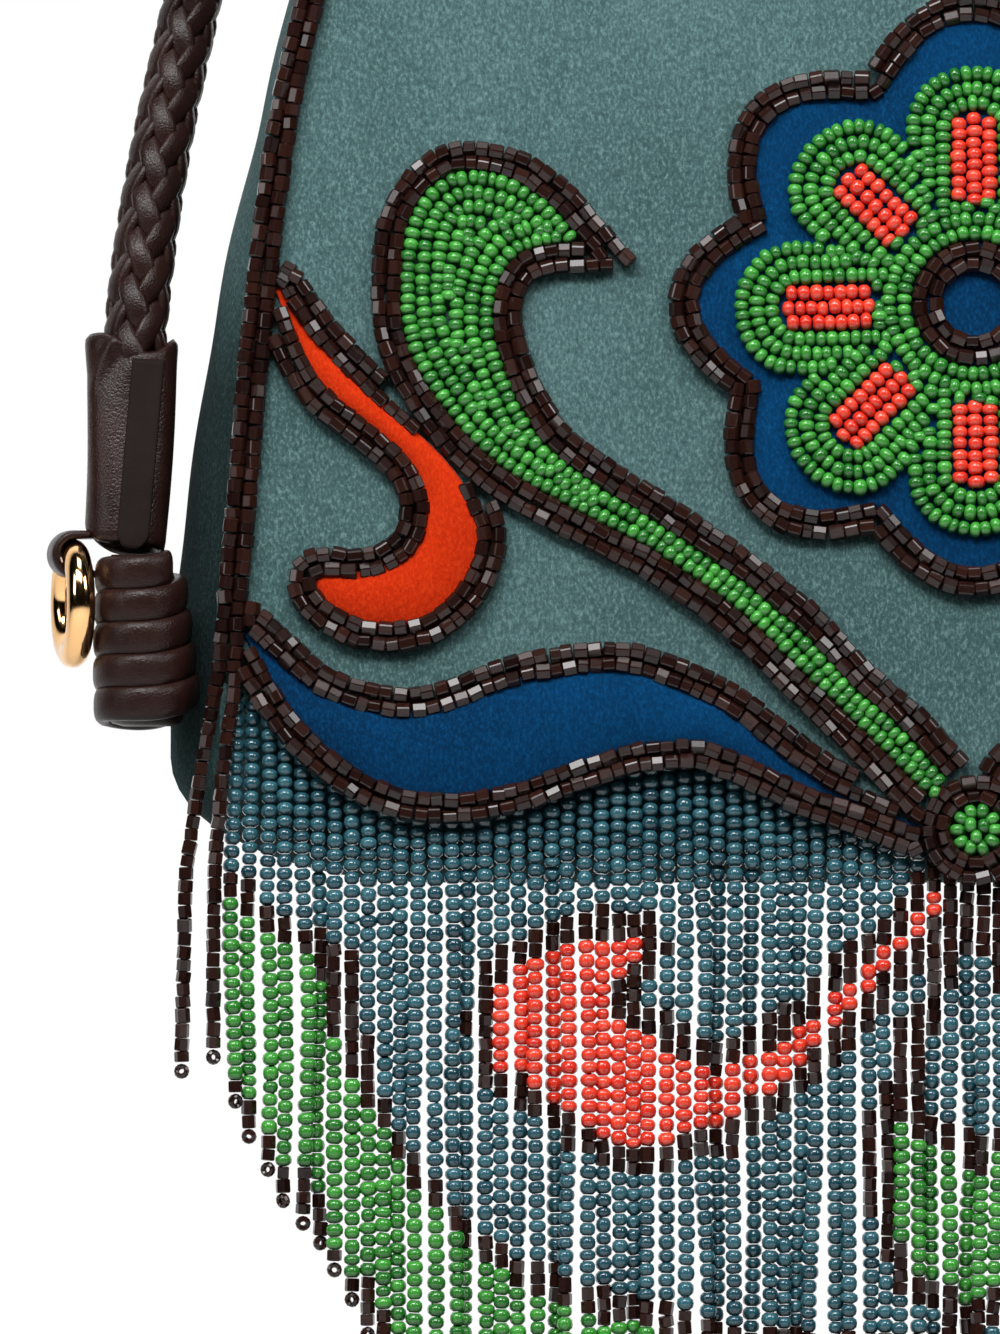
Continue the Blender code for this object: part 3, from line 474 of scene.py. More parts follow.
def sewBead(kind, place, axis, length, lift):
    facts = beadKinds[kind]
    board["beads"][board["count"]] = (*place, *axis, length, facts["width"], lift, facts["code"])
    board["count"] += 1


def sewRow(kind, line, lift=0.0, keep=None, room=0.80):
    # Beads along a line, left out where they would lie on beads that are there already
    facts = beadKinds[kind]
    place, axis, lengths = rowMarks(line, facts["pitch"], facts["spread"])
    good = keep(place) if keep else np.ones(len(place), bool)
    for i in np.flatnonzero(good):
        if not board["count"] or crowding(place[i], axis[i], lengths[i], facts["width"]).min() > room:
            sewBead(kind, place[i], axis[i], lengths[i], lift)


def fillGaps(kind, corners, region, lift=0.0, room=0.84, spacing=0.0004):
    # A bead in every gap of the region that holds one, the tightest gap first
    (x0, z0), (x1, z1) = corners
    x, z = np.meshgrid(np.arange(x0, x1, spacing), np.arange(z0, z1, spacing))
    places = np.column_stack([x.ravel(), z.ravel()])
    places = places[region(places)]
    length, width = beadKinds[kind]["pitch"], bag["bead"]
    near = np.linalg.norm(places[:, None] - sewn()[None, :, :2], axis=2).argmin(axis=1)
    axes = sewn()[near, 2:4].copy()
    free = np.array([crowding(p, a, length, width).min() for p, a in zip(places, axes)])
    while len(free) and free.max() > room:
        pick = np.flatnonzero(free > room)[free[free > room].argmin()]
        sewBead(kind, places[pick], axes[pick], length, lift)
        free = np.minimum(free, apart(places - places[pick], axes[pick], length, width))


def sewnBeads(kind):
    # The batch of all beads of a kind, stood on the flap's face with a little unevenness
    facts = beadKinds[kind]
    beads = sewn()[sewn()[:, 7] == facts["code"]]
    n = len(beads)
    radii, spins = sizesFor(n, facts["shape"])
    x, up = (beads[:, :2] + rng.normal(0, 0.00006, (n, 2))).T
    lift = beads[:, 6] + radii * 0.92 + rng.normal(0, 0.00007, n)
    centres = onFlap(x, up, lift)
    axes = unit(onFlap(x + beads[:, 2] * 0.001, up + beads[:, 3] * 0.001, lift) - centres)
    halves = beads[:, 4] / 2 * (1.0 if facts["shape"] == "cut" else 1.08)
    return [(facts["shape"], centres, axes + rng.normal(0, 0.06, (n, 3)), radii, halves, spins)]


# The camera, the light and the room
view = {
    "lens": 250.0,
    "place": (-0.0669, -1.352, -0.330),
    "front": (-0.05, -0.05, -0.3),
    "back": (-0.05, 0.0, -0.25),
    "floor": -0.515,
    "wall": 0.35,
    "sweep": 0.2,  # radius of the paper's bend
    "reach": (2.2, 2.6, 1.6),  # of the paper sideways, forward and up
    "cloth": (2.0, -0.7, 1.6),  # radius, foot and top of the black cloth
}
scene = bpy.context.scene
cameraData = bpy.data.cameras.new("camera")
cameraData.lens, cameraData.sensor_width = view["lens"], 36.0
camera = bpy.data.objects.new("camera", cameraData)
camera.location = view["place"]
camera.rotation_euler = (math.pi / 2, 0, 0)
scene.collection.objects.link(camera)
scene.camera = camera
scene.view_settings.view_transform = "Standard"


def backdropMaterial():
    # Matt paper that reads as white to the camera and still takes a little of the shadow
    material, tree = startMaterial("mattPaperWhite")
    shade(tree, Base_Color=(0.90, 0.90, 0.90, 1), Roughness=0.9, Specular_IOR_Level=0.1)
    glow = addNode(tree, "Emission", Color=(1, 1, 1, 1), Strength=1.0)
    share = addNode(tree, "Math", operation="MULTIPLY", n0=addNode(tree, "LightPath", "Is Camera Ray"),
                    n1=0.97)
    both = addNode(tree, "MixShader", n0=share, n1=tree.nodes["Principled BSDF"].outputs[0], n2=glow)
    behind = addNode(tree, "NewGeometry", "Backfacing")  # clear from behind, so the back can be seen
    oneSided = addNode(tree, "MixShader", n0=behind, n1=both, n2=addNode(tree, "BsdfTransparent"))
    setNode(tree, tree.nodes["Material Output"], Surface=oneSided)
    return material


def feltMaterial():
    material, tree = startMaterial("blackFelt")
    shade(tree, Base_Color=rgba("161616"), Roughness=1.0, Specular_IOR_Level=0.0)
    return material


looks["paper"], looks["blackFelt"] = backdropMaterial(), feltMaterial()
sweepTurn = np.linspace(0, math.pi / 2, 12)
sweepLine = np.column_stack([view["wall"] + view["sweep"] * (np.sin(sweepTurn) - 1),
                             view["floor"] + view["sweep"] * (1 - np.cos(sweepTurn))])
aside, ahead, above = view["reach"]
paperLine = np.vstack([(-ahead, view["floor"]), sweepLine, (view["wall"], above)])
paperGrid = np.stack([spots(x, *paperLine.T) for x in (-aside, aside)], axis=1)
backdrop = makeObject("backdrop", paperGrid.reshape(-1, 3), [gridFaces(len(paperLine), 2)], "paper")
backdrop.visible_diffuse = False  # it lights nothing, so hollows stay dark

world = bpy.data.worlds.new("studio")
scene.world = world
world.use_nodes = True
worldTree = world.node_tree
seen = addNode(worldTree, "LightPath", "Is Camera Ray")
for kind in ("Is Transmission Ray", "Is Glossy Ray"):
    seen = addNode(worldTree, "Math", operation="MAXIMUM", n0=seen, n1=addNode(worldTree, "LightPath", kind))
setNode(worldTree, worldTree.nodes["Background"], Color=(1, 1, 1, 1),
        Strength=ramp(worldTree, seen, 0, 1, 0.11, 1.0))

softboxes = {
    # Place, the point it faces, width and height in metres, power in watts
    "keyLight": ((-0.29, -0.93, 0.73), view["front"], 0.95, 0.38, 24.0),
    "leftLight": ((-1.10, -0.80, 0.30), view["front"], 0.35, 0.7, 5.0),
    "rightLight": ((0.78, -0.86, 0.52), view["front"], 0.35, 0.5, 7.5),
    "topLight": ((-0.1, -0.35, 1.0), view["front"], 0.5, 0.5, 4.0),
    "backLight": ((0.45, 1.2, 0.45), view["back"], 0.7, 0.7, 5.0),
}
for name, (place, target, width, height, power) in softboxes.items():
    light = bpy.data.lights.new(name, "AREA")
    light.shape = "RECTANGLE"
    light.size, light.size_y, light.energy = width, height, power
    obj = bpy.data.objects.new(name, light)
    obj.location = place
    obj.rotation_euler = (Vector(target) - Vector(place)).to_track_quat("-Z", "Y").to_euler()
    scene.collection.objects.link(obj)

# Black cloth round the camera, seen in reflections alone, so that glass and leather keep their depth
clothTurn = np.radians(np.linspace(-150, 150, 24))
radius, *levels = view["cloth"]
clothGrid = np.stack([spots(radius * np.sin(clothTurn), -radius * np.cos(clothTurn), z) for z in levels]
                     + [np.tile([0.0, 0.3, 1.7], (24, 1))])
blackCloth = makeObject("blackCloth", clothGrid.reshape(-1, 3), [gridFaces(3, 24)], "blackFelt")
for ray in ("camera", "diffuse", "transmission", "volume_scatter", "shadow"):
    setattr(blackCloth, "visible_" + ray, False)
print("studio set")

# Suede: the back and the flap in one, the front and the gusset
pouch = {
    "side": [(0.016, 0.1066), (0.033, 0.1063), (0.056, 0.1048), (0.080, 0.1018), (0.110, 0.0967),
             (0.146, 0.0900)],
    "bottom": 0.004,
    "corner": (0.030, 0.014),  # how far the base is rounded off, sideways and up
    "sideBulge": 0.0080,
    "mouthBulge": 0.0018,
    "backPuff": 0.0045,
}
flap = {
    "side": [(0.020, 0.1076), (0.0335, 0.1072), (0.056, 0.1052), (0.0796, 0.1032), (0.110, 0.0993),
             (0.139, 0.0925)],
    "edge": [(0.0, 0.0013), (0.0073, 0.0038), (0.0149, 0.0056), (0.0217, 0.0087), (0.0285, 0.0128),
             (0.0346, 0.0159), (0.0397, 0.0168), (0.0528, 0.0148), (0.0623, 0.0110), (0.0700, 0.0088),
             (0.0780, 0.0088), (0.0870, 0.0118), (0.0924, 0.0155), (0.0973, 0.0200), (0.1014, 0.0249),
             (0.1080, 0.0290)],
    "thickness": 0.0020,
    "hinge": (0.0139, 0.1474),
    "top": 0.150,
    "foldRadius": 0.006,
}


def widthAt(line, height):
    # Half width at a height, along a smooth line through (height, half width) points
    run = smoothLine([(w, h) for h, w in line], 0.001)
    return np.interp(height, run[:, 1], run[:, 0])


def edgeAt(x):
    # Height of the flap's lower edge
    return np.interp(np.abs(x), *smoothLine(flap["edge"], 0.0008).T)


def halfDepth(height):
    return bag["halfBase"] - height * math.tan(bag["tilt"])


def panelHeight(share):
    return pouch["bottom"] + (bag["mouthHeight"] - pouch["bottom"]) * share


def panelHalfWidth(height):
    # The panel's half width, rounded to the base at its lower corners
    wide, tall = pouch["corner"]
    round0 = pouch["bottom"] + tall
    drop = np.clip((round0 - height) / tall, 0, 1)
    cornered = widthAt(pouch["side"], round0) - wide + wide * np.sqrt(1 - drop**2)
    return np.where(height < round0, cornered, widthAt(pouch["side"], height))


def spacedAcross(count, share):
    # From -1 to 1, closer together at both ends
    return np.sin(np.linspace(-1, 1, count) * math.pi / 2 * share) / math.sin(math.pi / 2 * share)


def ripple(x, z, size, height, seed):
    # Soft unevenness: four crossing sine waves
    local = np.random.default_rng(seed)
    total = 0
    for _ in range(4):
        a, phase = local.uniform(0, math.pi), local.uniform(0, 6.28)
        total = total + np.sin((x * math.cos(a) + z * math.sin(a)) * 2 * math.pi / size
                               * local.uniform(0.6, 1.5) + phase)
    return total * height / 4


def makeCover():
    # Rows from the flap's lower edge up its face, round the fold, over the mouth and down the back
    tilt, thickness, radius = bag["tilt"], flap["thickness"], flap["foldRadius"]
    across = spacedAcross(121, 0.8)
    edge = edgeAt(across * widthAt(flap["side"], 0.029)) + 0.0011
    foldUp = (flap["top"] - thickness / 2 - radius) / math.cos(tilt)
    up = edge + (foldUp - edge) * np.linspace(0, 1, 46)[:, None]
    x = across * widthAt(flap["side"], up)
    face = onFlap(x, up, -0.0011 + ripple(x, up, 0.05, 0.00025, 3)) - bag["shift"]

    middle, last = face[-1, 60, 1:], face[-1, :, 0]
    foldTurn = math.pi / 2 - tilt
    angle = np.linspace(foldTurn, 0, 12)[1:, None]
    unevenY, unevenZ = (face[-1, :, 1:] - middle).T
    fold = spots(last, middle[0] + radius * (math.cos(tilt) - np.sin(angle)) + unevenY * angle / foldTurn,
                 middle[1] + radius * (np.cos(angle) - math.sin(tilt)) + unevenZ * angle / foldTurn)

    (y0, z0), (y1, z1) = fold[-1, 0, 1:], flap["hinge"]
    t = np.linspace(0, 1, 14)[1:, None]
    mouth = spots(last * (1 - t) + across * widthAt(pouch["side"], 0.146) * t, y0 + (y1 - y0) * t,
                  z0 + (z1 - z0) * (1 - np.cos(math.pi / 2 * t)))

    v = np.linspace(1, 0, 40)[1:, None]
    height, swell = panelHeight(v), np.sin(math.pi * v)
    x = across * panelHalfWidth(height)
    puff = pouch["backPuff"] * (1 - across**4) * swell**0.8
    back = spots(x, halfDepth(height) + 0.0012 + puff + ripple(x, height, 0.06, 0.0005, 5) * swell, height)

    grid = toRow(np.concatenate([face, fold, mouth, back]))
    cover = sheetObject("suedeCover", grid, thickness, "suede", lift=thickness / 2)
    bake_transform(cover)
    settle(cover, None, "suede", "back_panel", "flap_panel")


def makeFront():
    across = spacedAcross(91, 0.85)
    height = panelHeight(np.linspace(0, 1, 60)[:, None] ** 1.4)
    x = across * panelHalfWidth(height)
    base = np.minimum((height - pouch["bottom"]) / 0.010, 1)
    roll = (1 - np.abs(across) ** 10) * (1 - (1 - base) ** 2)
    y = -(halfDepth(height) + 0.0003 + 0.0017 * roll + ripple(x, height, 0.04, 0.0003, 7) * roll)
    settle(sheetObject("frontSuede", toRow(spots(x, y, height)), 0.0016, "suede"), "pouch", "suede",
           "front_panel")


def makeGusset():
    # Round the panels' outline, swelling out at mid depth, with soft creases
    (wide, tall), low = pouch["corner"], pouch["bottom"]
    heights = np.linspace(bag["mouthHeight"], low + tall, 60)[:-1]
    centre = widthAt(pouch["side"], low + tall) - wide
    turn = np.linspace(0, math.pi / 2, 20)
    half = np.vstack([
        np.column_stack([-panelHalfWidth(heights), heights]),
        np.column_stack([-centre - wide * np.cos(turn), low + tall * (1 - np.sin(turn))]),
        np.column_stack([np.linspace(-centre, 0, 40), np.full(40, low)])[1:],
    ])
    line = np.vstack([half, (half * (-1, 1))[-2::-1]])
    along, (x, z) = unit(np.gradient(line, axis=0)), line.T
    down = along[:, 0] ** 2
    up = np.clip(z / bag["mouthHeight"], 0, 1)
    side = (pouch["mouthBulge"]
            + (pouch["sideBulge"] - pouch["mouthBulge"]) * np.sin(math.pi / 2 * (1 - up)) ** 0.8)
    a = np.linspace(1, -1, 33)[:, None]
    fold = ripple(z, a * 0.02, 0.03, 0.0006, 9) * (1 - a**2)
    out = (side * (1 - down) + (low + 0.0002) * down) * (1 - np.abs(a) ** 2.4) + fold * (1 - down)
    grid = spots(x + along[:, 1] * out, a * (halfDepth(z) - 0.0004), z - along[:, 0] * out)
    obj = sheetObject("gussetSuede", toRow(grid), 0.0015, "suede")
    # Painted shade: the gusset's suede is darkened behind the knot and sleeve and towards its front, where
    # they and the flap shade it
    byHeight = np.interp(z, [0.004, 0.014, 0.026, 0.070, 0.088, 0.146], [0.25, 0.4, 0.9, 0.9, 0.45, 0.3])
    byDepth = np.interp(a.ravel(), [-1, -0.3, 0.3], [1, 0.9, 0])
    setAttribute(obj.data, "paintedShade", np.tile(np.outer(byDepth, byHeight).ravel(), 2))
    settle(obj, "pouch", "suede", "gusset")


makeCover()
makeFront()
makeGusset()
print("suede made")

# Beadwork on the flap
# Two edges of each leaf that meet at its tips, millimetres out from the centre line and up
leafEdges = {
    "wave": (
        [(102.6, 35.8), (96.4, 30), (91, 26.2), (82, 23.8), (74.5, 24.6), (64, 28.4), (53.1, 30),
         (46.9, 29.4), (36.7, 25.2), (30.5, 20.7), (27.3, 18.2), (22.2, 14.6), (16.3, 11.6),
         (10.9, 9.2), (7.2, 7.8)],
        [(7.2, 7.8), (10.9, 9.1), (16.3, 11.2), (23.1, 13.6), (27.5, 15.8), (34.4, 19.1), (39.4, 20.5),
         (48, 19.9), (54.6, 18), (64.2, 14.6), (70.6, 13.2), (75.4, 13), (80.6, 13.6), (86.9, 16.4),
         (92.5, 20.8), (97.2, 26.4), (102.6, 35.8)],
    ),
    "flame": (
        [(98.2, 84.4), (95.7, 80.5), (93.2, 77), (90.4, 73.8), (84.8, 68.3), (78.5, 62.7), (75.2, 59.4),
         (72.6, 55.8), (70.2, 49.7), (71, 45.4), (73.2, 41.6), (76.5, 38.6), (80.6, 37.2), (85.6, 37.4),
         (89.2, 38.8), (91.9, 41), (92.7, 42.4)],
        [(92.7, 42.4), (91.9, 43.5), (86.3, 43.4), (82.4, 44.4), (79, 46.8), (77.2, 50.3),
         (77.2, 55.4), (79.9, 60.6), (86.4, 66.3), (90.2, 69.3), (92.9, 72.4), (94.8, 75.8),
         (96.2, 79.2), (98.2, 84.4)],
    ),
    "comma": (
        [(55, 90.7), (60.4, 96.7), (66.5, 100.4), (73.8, 100.7), (79.2, 95.3), (80.9, 86.3),
         (80.1, 77), (75.6, 68.4), (67, 59.2), (53.1, 51.2), (46.5, 47.9), (40.8, 44.2), (35.2, 40.2),
         (29.6, 35.3), (23.9, 29.6), (18.3, 24.2), (12.7, 18.6), (7, 12.9), (5.2, 12.1)],
        [(5.2, 12.1), (3.8, 13.4), (4.2, 14.9), (7, 18.1), (9.9, 21.4), (12.7, 24), (18.3, 29),
         (23.9, 35.2), (29.6, 40.1), (35.2, 44.5), (46.5, 52.2), (53.1, 56.3), (61, 62.8),
         (66.1, 72.3), (67.9, 81), (65.5, 88), (60.4, 90.4), (55, 90.7)],
    ),
}
flower = {
    "height": 0.0820,
    "lift": 0.0007,
    # Turn from the top and reach of the ground's lobes, and of the notches between them
    "lobes": [(0, 0.0404), (45, 0.0386), (88, 0.0389), (133, 0.0391), (180, 0.0372)],
    "notches": [(-25, 0.0321), (25, 0.0321), (70, 0.0311), (110, 0.0323), (155, 0.0310), (205, 0.0310)],
    "petals": [(0, 0), (45, 0.0011), (91.5, 0), (135, 0), (180, 0.0010)],  # turn, and how much shorter
    "coreRows": (-0.00215, 0.0, 0.00215),
    "core": (0.0140, 0.0271),
    "petalRows": [(0.00440, 0.0286), (0.00643, 0.0307), (0.00845, 0.0329)],  # half width and reach, green
    "petalFoot": 0.0130,
    "eyeRows": (0.00555, 0.00775),
    "greenRings": (0.0100, 0.0121),
}
medallion = {
    "height": 0.0078,
    "rings": (0.00465, 0.00675),
    "beads": ((10, 0.0, 0.00265, 0.0003), (3, 0.4, 0.0011, 0.0009)),  # count, first turn, radius, lift
}
rowOffsets = (0.00095, 0.00314)


def leafEdge(name, which, side, spacing=0.0004):
    return smoothLine(np.array(leafEdges[name][which]) * (side / 1000, 1 / 1000), spacing)


def leafLoop(name, side):
    return np.vstack([leafEdge(name, which, side)[:-1] for which in (0, 1)])


def turnOf(loop):
    # 1 for a loop that runs to the left, -1 to the right
    x, z = loop.T
    return np.sign(np.sum(x * np.roll(z, -1) - np.roll(x, -1) * z))


def offsetLoop(loop, distance):
    # A closed loop moved to its left, its sharp corners carried on to where their two sides meet
    step = unit(np.roll(loop, -1, axis=0) - loop)
    after = np.column_stack([-step[:, 1], step[:, 0]])
    before = np.roll(after, 1, axis=0)
    reach = np.minimum(1 / np.maximum(1 + np.sum(after * before, axis=1), 0.04), 6.0)
    return loop + distance * (after + before) * reach[:, None]


def outlineRows(loop, corners=(), reach=0.006):
    # Rows of cut beads round a closed loop, clear of it by each offset, and beads in the gaps at its corners
    closedLine = np.vstack([loop, loop[:1]])

    def beside(points, low, high=math.inf):
        away = distanceTo(points, closedLine)
        onSuede = np.abs(points[:, 0]) < widthAt(flap["side"], points[:, 1]) - 0.0006
        return (away > low) & (away < high) & ~inside(points, loop) & onSuede

    for offset in rowOffsets:
        row = offsetLoop(loop, -turnOf(loop) * offset)
        sewRow("brown", np.vstack([row, row[:1]]), 0.0, lambda points: beside(points, offset * 0.93))
    low, high = rowOffsets[0] * 0.85, rowOffsets[1] * 1.08
    for corner in corners:
        fillGaps("brown", (corner - reach, corner + reach),
                 lambda points: beside(points, low, high) & (np.hypot(*(points - corner).T) < reach),
                 room=0.78)


def lobeReach(angle):
    # The reach rises from notch to notch to the lobe's own by a cosine to the power 1.35
    a = np.abs((np.asarray(angle, float) + 180) % 360 - 180)
    turns, low = np.array(flower["notches"]).T
    k = np.clip(np.searchsorted(turns, a) - 1, 0, len(turns) - 2)
    t = 2 * (a - turns[k]) / (turns[k + 1] - turns[k]) - 1
    base = low[k] + (low[k + 1] - low[k]) * (t + 1) / 2
    return base + (np.array(flower["lobes"])[k, 1] - base) * np.cos(math.pi / 2 * t) ** 1.35


def circleLine(radius, height):
    angle = np.linspace(0, 2 * math.pi, 72)
    return np.column_stack([radius * np.cos(angle), height + radius * np.sin(angle)])


def addFlower():
    middle, lift, foot = np.array([0.0, flower["height"]]), flower["lift"], flower["petalFoot"]
    for kind, radii in (("brown", flower["eyeRows"]), ("green", flower["greenRings"])):
        for radius in radii:
            sewRow(kind, circleLine(radius, flower["height"]), lift)
    petals = []  # outward and sideways vectors of each, and how much shorter it is
    for turn, less in flower["petals"]:
        for a in (-math.radians(turn), math.radians(turn)) if 0 < turn < 180 else (math.radians(turn),):
            out = np.array([math.sin(a), math.cos(a)])
            petals.append((out, np.array([out[1], -out[0]]), less))
    start, end = flower["core"]
    for out, side, less in petals:
        for shift in flower["coreRows"]:
            cut = 0.0006 * (shift != 0)
            ends = (start + cut - less / 3, end - cut - less)
            sewRow("coral", np.array([middle + side * shift + out * reach for reach in ends]), lift)

    def fromMiddle(points, out, side):
        local = points - middle
        return local @ side, local @ out, np.hypot(*local.T)

    for half, reach in flower["petalRows"]:
        for out, side, less in petals:
            turn = np.linspace(-math.pi / 2, math.pi / 2, 25)
            tip = np.column_stack([half * np.sin(turn), reach - less - half * 0.85 * (1 - np.cos(turn))])
            path = np.vstack([(-half, 0.0105), tip, (half, 0.0105)])

            def sector(points):
                x, y, away = fromMiddle(points, out, side)
                return (np.abs(x) < y * math.tan(math.radians(22.5)) - 0.0005) & (away > foot)

            sewRow("green", middle + path[:, :1] * side + path[:, 1:] * out, lift, sector, 0.76)
    last, reach = flower["petalRows"][-1]

    def within(points):
        # Inside a petal's outer row: near its axis and short of its tip
        found = np.zeros(len(points), bool)
        for out, side, less in petals:
            x, y, away = fromMiddle(points, out, side)
            past = np.clip((y - (reach - less - last * 0.85)) / (last * 0.85), 0, None)
            wide = np.sqrt(np.clip(1 - past**2, 0, 1))
            found |= (np.abs(x) < last * wide) & (y > foot - 0.0005) & (away > foot - 0.0001)
        return found

    fillGaps("green", (middle - 0.035, middle + 0.035), within, lift, 0.76)

    def flowerPoint(angle, reach):
        turn = np.radians(angle)
        return np.stack([reach * np.sin(turn), flower["height"] + reach * np.cos(turn)], axis=-1)

    angles = np.linspace(0, 360, 360, endpoint=False)
    corners = [flowerPoint(sign * turn, reach + 0.001)
               for turn, reach in flower["notches"][1:-1] for sign in (-1, 1)]
    outlineRows(flowerPoint(angles, lobeReach(angles)), corners, 0.0045)


def addComma(side):
    # Green rows from both edges inwards, by turns, then beads in the gaps between them
    edges = leafEdge("comma", 0, side), leafEdge("comma", 1, side)
    loop = leafLoop("comma", side)
    closedLine = np.vstack([loop, loop[:1]])
    outlineRows(loop, [edges[0][0]])

    def within(points, depth):
        return inside(points, loop) & (distanceTo(points, closedLine) > depth)

    for k in range(4):
        for edge in edges:
            row = offsetLine(edge, turnOf(loop) * (0.00098 + 0.00212 * k))
            sewRow("green", row, 0.0, lambda points: within(points, 0.00098 * 0.88), 0.80 if k else 0.62)
    fillGaps("green", (loop.min(axis=0), loop.max(axis=0)), lambda points: within(points, 0.0008), room=0.70)


def addMedallion():
    for radius in medallion["rings"]:
        sewRow("brown", circleLine(radius, medallion["height"]))
    for count, start, radius, lift in medallion["beads"]:
        for k in range(count):
            a = 2 * math.pi * k / count + start
            out = np.array([math.cos(a), math.sin(a)])
            axis = np.array([1.0, 0.0]) if start else np.array([-out[1], out[0]])
            sewBead("green", (0.0, medallion["height"]) + out * radius, axis, 0.0016, lift)


def addEdges(side):
    heights = np.linspace(0.139, 0.0300, 90)
    for inset in rowOffsets:
        sewRow("brown", np.column_stack([side * (widthAt(flap["side"], heights) - inset), heights]))


addMedallion()
for side in (-1, 1):
    addComma(side)
    addEdges(side)
addFlower()
for side in (-1, 1):
    for leaf in ("wave", "flame"):
        outlineRows(leafLoop(leaf, side), [leafEdge(leaf, which, side)[0] for which in (0, 1)])

hands = ((-1, "left"), (1, "right"))
beadNodes = {
    "brown": ["flower_outline_beads", "flower_eye_beads", "medallion_beads"]
             + [f"{n}_{h}" for n in ("edge_beads", "comma_leaf_beads", "wave_leaf_beads", "flame_leaf_beads")
                for _, h in hands],
    "green": ["petal_beads", "medallion_eye", "comma_leaf_left", "comma_leaf_right"],
    "coral": [f"petal_core_{k}" for k in range(1, 9)],
}
for kind, nodes in beadNodes.items():
    settle(beadObject(kind + "BeadRows", kind, sewnBeads(kind)), "flap", kind + "_beads", *nodes)
print("flap beads", board["count"])


def makeInlay(leaf, look, slot, side, hand):
    # Leather between the two edges of a leaf, a little padded towards its middle
    first, second = leafEdge(leaf, 0, side), leafEdge(leaf, 1, side)[::-1]
    first = resample(first, 0.0008)
    second = resample(second, lengthOf(second) / (len(first) - 1))
    narrow = np.clip(np.linalg.norm(second - first, axis=1) / 0.006, 0, 1)
    hem = (0.0004 + 0.0005 * narrow)[:, None] * -side
    first, second = (line + sign * hem * (offsetLine(line, 1) - line)
                     for line, sign in ((first, 1), (second, -1)))
    share = np.linspace(0, 1, 15)[:, None]
    flat = first * (1 - share[:, :, None]) + second * share[:, :, None]
    x, up = flat[:, :, 0], flat[:, :, 1]
    puff = (0.0006 + narrow * (0.0003 + 0.0010 * np.sin(math.pi * share) ** 0.7)
            + ripple(x, up, 0.02, 0.0001, 13))
    obj = sheetObject(f"{leaf}Suede_{hand}", onFlap(x, up, puff)[::side], 0.0007, look)
    turnFacesOut(obj)
    settle(obj, "flap", slot, f"{leaf}_leaf_{hand}")


for leaf, look, slot in (("wave", "blueSuede", "blue_suede"), ("flame", "orangeSuede", "orange_suede")):
    for side, hand in hands:
        makeInlay(leaf, look, slot, side, hand)

# The flower's ground: a square grid pressed round, ring by ring, into the lobed outline
u, v = np.meshgrid(np.linspace(-1, 1, 81), np.linspace(-1, 1, 81))
ring, angle = np.maximum(np.abs(u), np.abs(v)), np.arctan2(v, u)
reach = ring * (lobeReach(90 - np.degrees(angle)) + 0.0008)
x, up = reach * np.cos(angle), flower["height"] + reach * np.sin(angle)
lift = 0.0009 + 0.0003 * np.clip((1 - ring) * 6, 0, 1) + ripple(x, up, 0.02, 0.0001, 17)
obj = sheetObject("flowerGroundSuede", onFlap(x, up, lift), 0.0007, "blueSuede")
turnFacesOut(obj)
settle(obj, "flap", "blue_suede", "flower_ground")
print("inlays made")

# The fringe
fringe = {
    "count": 90,
    "loose": 2,
    "pitch": 2 * 0.1088 / 93,
    "seedStep": 0.00186,
    "pivot": -0.0041,
    "sideEnd": -0.0308,
    "centreEnd": -0.0948,
    "curve": 3.47,
    "depth": -0.0311547,  # of the strands' middles below the pivot
    # Regions of colour, millimetres out from the centre line and up
    "coral": [(46.8, -7.2), (50.4, -7), (55.6, -7.2), (61, -9.7), (66.9, -13.4), (68, -19.5),
              (66.9, -25.4), (61, -29.2), (55.6, -33), (50.4, -36.6), (44, -36.3), (40.1, -34.7),
              (35.6, -34.6), (31.5, -30), (24.5, -25.6), (20.4, -20.4), (15.5, -14.9), (10.6, -9),
              (6.1, -4.4), (3.4, 0.5), (4.4, 1.9), (8.3, -4.8), (13.2, -9.2), (17.9, -13.1),
              (22.5, -18.6), (28.8, -22.4), (35.6, -26.9), (40.1, -25.4), (45.4, -21), (50.4, -18.1),
              (51.6, -15.5), (50, -12.5), (46.8, -9.8)],
    "palm": [(-4, -38), (0, -41.7), (4, -37.3), (8.3, -35.8), (10.6, -31.7), (11.8, -31), (11.8, -46),
             (10.6, -50.6), (8.3, -54.2), (4, -55.1), (0, -59.5), (-4, -55.1)],
    "stem": [(-3, 3), (4, 2), (5, -4), (6, -11), (8, -17), (11.5, -20), (12, -31), (8.3, -35.8), (7.2, -35),
             (7.2, -23), (5, -20), (5, -17.5), (3.2, -14), (2.7, -10.9), (-3, -9.3)],
    "brownTop": [(-1, -63), (24.5, -62.1), (35.5, -62.1), (45.4, -58.3), (53.1, -56.8), (58.2, -54.5),
                 (66.6, -50.7), (71.4, -47.2), (76.2, -41.5), (80.4, -34.9), (83.1, -29.3),
                 (85.5, -21), (87.9, -8.9), (90.6, -7), (95.1, -6.2), (99.6, -1.8), (104.5, 3)],
    "greenTop": [(-1, -67), (24.5, -66), (35.5, -66), (45.4, -62.3), (53.1, -60.8), (58.2, -58.5),
                 (66.6, -54.7), (71.4, -51.2), (76.2, -45.5), (80.4, -38.9), (83.1, -33.9),
                 (85.5, -31.9), (87.9, -27.1), (90.6, -19.7), (93, -10.6), (95.1, -10), (99.6, -5.6),
                 (104.5, -0.8)],
    "outline": (0.0036, 0.0039),  # how far the brown reaches round a region, sideways and up
    # How far the loose strands drift outwards, by their depth below the pouch's base
    "outerDrift": [(-0.0306, 0), (-0.0121, 0.0032), (-0.0014, 0.0046), (0.026, 0.0052)],
    "innerDrift": [(-0.028, 0), (-0.017, 0.0015), (-0.010, 0.0022), (-0.003, 0.0027), (0.008, 0.0029)],
}


